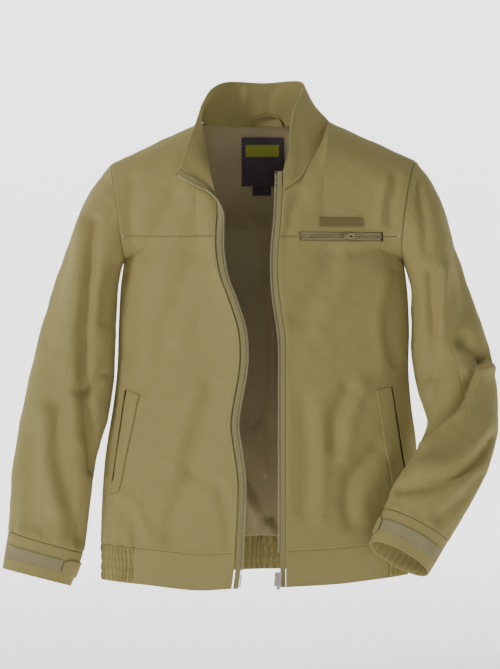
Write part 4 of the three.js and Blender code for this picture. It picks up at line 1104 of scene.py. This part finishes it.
t = np.linspace(0.03, 0.97, 80)
cloth("chest patch cloth", patch, spaced(0, 1, 65, 2), spaced(0, 1, 13, 1.4), HALF + 1.0, HALF + 2.0,
    PATCH_MAT, "jacket", ["chest_patch"],
      drape=flat_drape, rows=[(t, 0.12), (t, 0.88), (0.03, t), (0.97, t)])
frame_rows = [[(50, -164), (182, -164)], [(50, -180), (182, -180)], [(50, -164), (50, -180)],
    [(182, -164), (182, -180)]]
rows = []
for (x0, z0), (x1, z1) in frame_rows:
    k = np.linspace(0, 1, 100)
    rows.append(project(left, lerp(x0, x1, k), lerp(z0, z1, k), (0.5, 0.25)))
grid_u = np.linspace(0, 1, 60)
left_drape = front_drape(left, (grid_u, hem_share(left, grid_u)))
finish_piece("chest zip stitches",
    mesh_of("stitches", *spindles(*place_rows(left, rows, HALF + 0.1, left_drape))), [THREAD_MAT],
    "jacket", [])
print("zips ready")

# %% [markdown]
# ## Sleeves and cuffs
#
# A sleeve runs from the jacket's armhole down the arm, and its surface blends from the armhole into the tube just
# below it. The sleeve cloth and its lining are left without a body; the cuff and loop strip belong to the sleeve.

# %% Sleeves
CUT = {"right": (0.36, (-221, -50, -133), (-0.8, 0, -0.6)),
    "left": (0.44, (221, -50, -130), (0.8, 0, -0.6))}
for side, s in sleeves.items():
    body = f"{side}_sleeve"
    tab_from, middle, way = CUT[side]
    middle, way = np.array(middle, float), np.array(way)
    bend = ("jacket", body, tuple((middle + way * 25) * MM), tuple((middle + way * 125) * MM))
    mid = lambda v: (s["at"](0.0, v) + s["at"](0.5, v)) / 2
    one = np.array(1.0)
    cuff = float(find(lambda v: np.linalg.norm(mid(v) - mid(one), axis=-1) > CUFF, ()))
    tiny = SEAM / 640

    def sleeve_drape(p, n, u, v):
        ends = smooth(v / 0.03) * smooth((cuff - v) / 0.03)
        a = np.mod(u, 1.0)
        seam_dip = -0.35 * (np.exp(-((a - 0.235) / 0.006) ** 2) + np.exp(-((a - 0.745) / 0.006) ** 2))
        gather = 1.3 * ripple(a * 300, 21,
            0.5) * np.exp(-np.clip(cuff - v, 0, None) * 640 / 30) * smooth((cuff - v) / 0.012)
        shows = smooth(np.clip(-n[..., 1] * 1.6, 0, 1))
        f = folded(p, SLEEVE_FOLDS, SLEEVE_LIPS if side == "left" else ())
        return (f * 2.0 * shows + 1.0 * hand(p)) * ends + seam_dip + gather

    upper, under = spaced(0.745 - 1 - 0.001, 0.235 + 0.001, 190, 2.6), spaced(0.235 - 0.001, 0.745 + 0.001,
        190, 2.6)
    down = spaced(0.35 / 640, cuff - tiny, 590, 2.6)
    t = np.linspace(0.0, 1, 300)
    for name, us in (("upper_sleeve", upper), ("under_sleeve", under)):
        extra = [((0.235 - 0.013) if name == "upper_sleeve" else (0.745 - 0.012),
            t * (cuff - 0.01) + 0.005)]
        cloth(f"{side} {name.replace('_', ' ')} cloth", s, us, down, -HALF, HALF, SHELL_MAT,
            body, [f"{side}_{name}"],
              drape=sleeve_drape, rows=extra, bend=bend)
    cloth(f"{side} sleeve lining satin", s, np.linspace(0, 1, 61)[:-1],
        np.linspace(0.35 / 640, cuff - tiny, 90), LINING_TOP - 1 - 0.4, LINING_TOP - 0.4, LINING_MAT,
          body, [f"{side}_sleeve_lining"], closed=True, drape=lambda p, n, u,
          v: np.minimum(sleeve_drape(p, n, u, v), 0.2),
          bend=bend)
    # the back half of the cuff is gathered on elastic, and its mouth is a little uneven
    def cuff_drape(p, n, u, v):
        a = np.mod(u, 1.0)
        behind = smooth((a - 0.5) / 0.06) * smooth((1.0 - a) / 0.06)
        r = (v - cuff) / (1 - cuff)
        return behind * (1.5 * ripple(a * 300, 10.5, 0.8) - 0.9) * (0.55 + 0.45
            * np.abs(np.sin(3 * np.pi * r))) + 0.5 * hand(p) * (1 - behind)
    ring = np.linspace(0, 1, 241)[:-1]
    cloth(f"{side} cuff cloth", s, ring, spaced(cuff + tiny, 1, 55, 1.8), -HALF - 0.6, HALF, SHELL_MAT,
        body, [f"{side}_cuff"], closed=True,
          drape=cuff_drape, rows=[(np.linspace(0, 1, 300), lerp(cuff, 1, r)) for r in (0.06, 0.93)])
    tab_mid, reach = lerp(cuff, 1, 0.5), 13 / CUFF * (1 - cuff)
    strip_vs = spaced(tab_mid - reach * 0.8, tab_mid + reach * 0.8, 21, 2)
    cloth(f"{side} loop strip", s, spaced(0.05, tab_from - 0.008, 100, 1.6), strip_vs, HALF + 0.5,
        HALF + 1.5, LOOP_MAT, body,
          [f"{side}_cuff_loop_strip"], drape=cuff_drape,
          rows=[(np.linspace(0.06, tab_from - 0.02, 100), lerp(tab_mid - reach, tab_mid + reach, r))
              for r in (0.17, 0.83)])
    us = spaced(tab_from, 0.5, 46 if side == "right" else 22, 1.6)
    k = np.clip((us - tab_from) / (0.03 if side == "right" else 0.02), 0, 1)
    reach_u = reach * (0.62 + 0.38 * k)[:, None]  # the free end is cut at its corners
    tt = spaced(-1, 1, 26, 1.8)[None]
    cloth(f"{side} cuff tab cloth", s, us, lambda u_, r_=reach_u, m_=tab_mid, t_=tt: m_ + r_ * t_,
        HALF + 0.8, HALF + 2.6, SHELL_MAT, f"{side}_tab",
          [f"{side}_cuff_tab"], drape=cuff_drape,
          rows=[(np.linspace(us[3], us[-1], 60), tab_mid + reach * 0.8),
              (np.linspace(us[3], us[-1], 60), tab_mid - reach * 0.8)])
print("sleeves ready")

# %% [markdown]
# ## Labels and hanger loop

# %% Labels and loop
label_top = LINING_TOP - 1 - 1.7
ease = lambda p, n, u, v: 0.12 * hand(p)
corners = [(-34, -16), (31, -16), (31, -92), (-34, -92)]
cloth("neck label satin", patch_on(back, corners), spaced(0, 1, 65, 3), spaced(0, 1, 76, 3),
    label_top - 0.9, label_top, LABEL_MAT, "jacket",
      ["neck_label"], drape=ease)
cloth("neck label printed band", patch_on(back, [(-28, -27), (24, -27), (24, -46), (-28, -46)]),
    spaced(0, 1, 52, 3), spaced(0, 1, 19, 3), label_top - 1.15,
      label_top - 0.85, LIME_MAT, "jacket", [], drape=ease)
cloth("size label satin", patch_on(back, [(-17, -92.7), (11, -92.7), (11, -106.5), (-17, -106.5)]),
    spaced(0, 1, 28, 2), spaced(0, 1, 14, 2), label_top - 0.9,
      label_top, LABEL_MAT, "size_label", ["size_label"], drape=ease)
path = spline([(5 + k * 23, -5.2, z) for k,
    z in [(-1, -4), (-0.94, 4), (-0.6, 12), (0, 15), (0.6, 12), (0.94, 4), (1, -4)]])
t = np.linspace(0, 1, 90)
p = path(t)
ways = np.gradient(p, axis=0)
ways /= np.linalg.norm(ways, axis=1)[:, None]
outs = np.cross(ways, [0, 1, 0])
ring = [(math.copysign(abs(math.cos(a)) ** 0.5, math.cos(a)) * 0.9,
    math.copysign(abs(math.sin(a)) ** 0.5, math.sin(a)) * 2.5) for a in np.linspace(0, 2 * np.pi, 13)[:-1]]
pts = np.stack([p + outs * a + np.array([0, 1, 0]) * b for a, b in ring], 1)
n_ring = len(ring)
i, j = np.meshgrid(np.arange(len(t) - 1), np.arange(n_ring), indexing="ij")
a, b = (i * n_ring + j).ravel(), (i * n_ring + (j + 1) % n_ring).ravel()
faces = np.stack([a, b, b + n_ring, a + n_ring], 1).tolist()
faces += [list(range(n_ring))[::-1], [(len(t) - 1) * n_ring + k for k in range(n_ring)]]
mesh = mesh_of("loop", pts.reshape(-1, 3), faces)
finish_piece("hanger loop cloth", mesh, [SHELL_MAT], "hanger_loop", ["hanger_loop"])
print("pieces", len(made), "faces", sum(len(o.data.polygons) for o in made))

# %% [markdown]
# ## Camera, floor and light
#
# The camera looks straight at the front. A bright soft light stands in front on the left and a weak one on
# the right, two more light the pale wall behind, and the floor curves up into that wall.

# %% Camera and light
scene = bpy.context.scene
DISTANCE, PLANE_Y = 5.0, -0.1
cam = bpy.data.objects.new("camera", bpy.data.cameras.new("camera"))
scene.collection.objects.link(cam)
cam.location = (-0.021, -DISTANCE, -0.3194)
cam.rotation_euler = (math.pi / 2, 0, 0)
cam.data.sensor_fit, cam.data.sensor_height, cam.data.sensor_width = "VERTICAL", 36, 36
cam.data.lens = 36 * (DISTANCE + PLANE_Y) / 1.0035
scene.camera = cam

FLOOR_Z = -0.86
profile = [(-12.0, FLOOR_Z),
    (6.0, FLOOR_Z)] + [(6.0 + 1.5 * math.sin(a), FLOOR_Z + 1.5 - 1.5 * math.cos(a))
    for a in np.linspace(0.1, 1.5, 12)] + [(7.55, 8.0)]
pts = [(x, y, z) for y, z in profile for x in (-12, 12)]
mesh = bpy.data.meshes.new("backdrop")
mesh.from_pydata(pts, [], [(2 * k, 2 * k + 1, 2 * k + 3, 2 * k + 2) for k in range(len(profile) - 1)])
mesh.polygons.foreach_set("use_smooth", np.ones(len(mesh.polygons), bool))
paper = bpy.data.materials.new("paper")
tree, bsdf = nodes_of(paper)
bsdf.inputs["Base Color"].default_value, bsdf.inputs["Roughness"].default_value = (0.93, 0.93, 0.93, 1), 0.9
bsdf.inputs["Emission Color"].default_value, bsdf.inputs["Emission Strength"].default_value = (1, 1, 1,
    1), 0.75
mesh.materials.append(paper)
backdrop = bpy.data.objects.new("backdrop", mesh)
scene.collection.objects.link(backdrop)
backdrop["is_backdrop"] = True


def light(name, at, to, size, power, color=(1, 1, 1)):
    data = bpy.data.lights.new(name, "AREA")
    data.shape, data.size, data.energy, data.color = "SQUARE", size, power, color
    obj = bpy.data.objects.new(name, data)
    scene.collection.objects.link(obj)
    obj.location = at
    from mathutils import Vector
    obj.rotation_euler = (Vector(to) - Vector(at)).to_track_quat("-Z", "Y").to_euler()


light("key", (-2.4, -1.7, 1.5), (0, 0, -0.35), 0.7, 66)
light("fill", (2.4, -3.2, 0.6), (0, 0, -0.35), 2.2, 9)
light("wall left", (-4.0, 2.5, 3.2), (0, 7.5, 0.2), 2.5, 420)
light("wall right", (4.0, 2.5, 3.2), (0, 7.5, 0.2), 2.5, 420)
world = bpy.data.worlds.new("room")
scene.world = world
world.use_nodes = True
world.node_tree.nodes["Background"].inputs["Color"].default_value = (1, 1, 1, 1)
world.node_tree.nodes["Background"].inputs["Strength"].default_value = 0.12

# %% Size and end
low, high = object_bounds()
print("shown box", [round(c, 3) for c in low], [round(c, 3) for c in high])
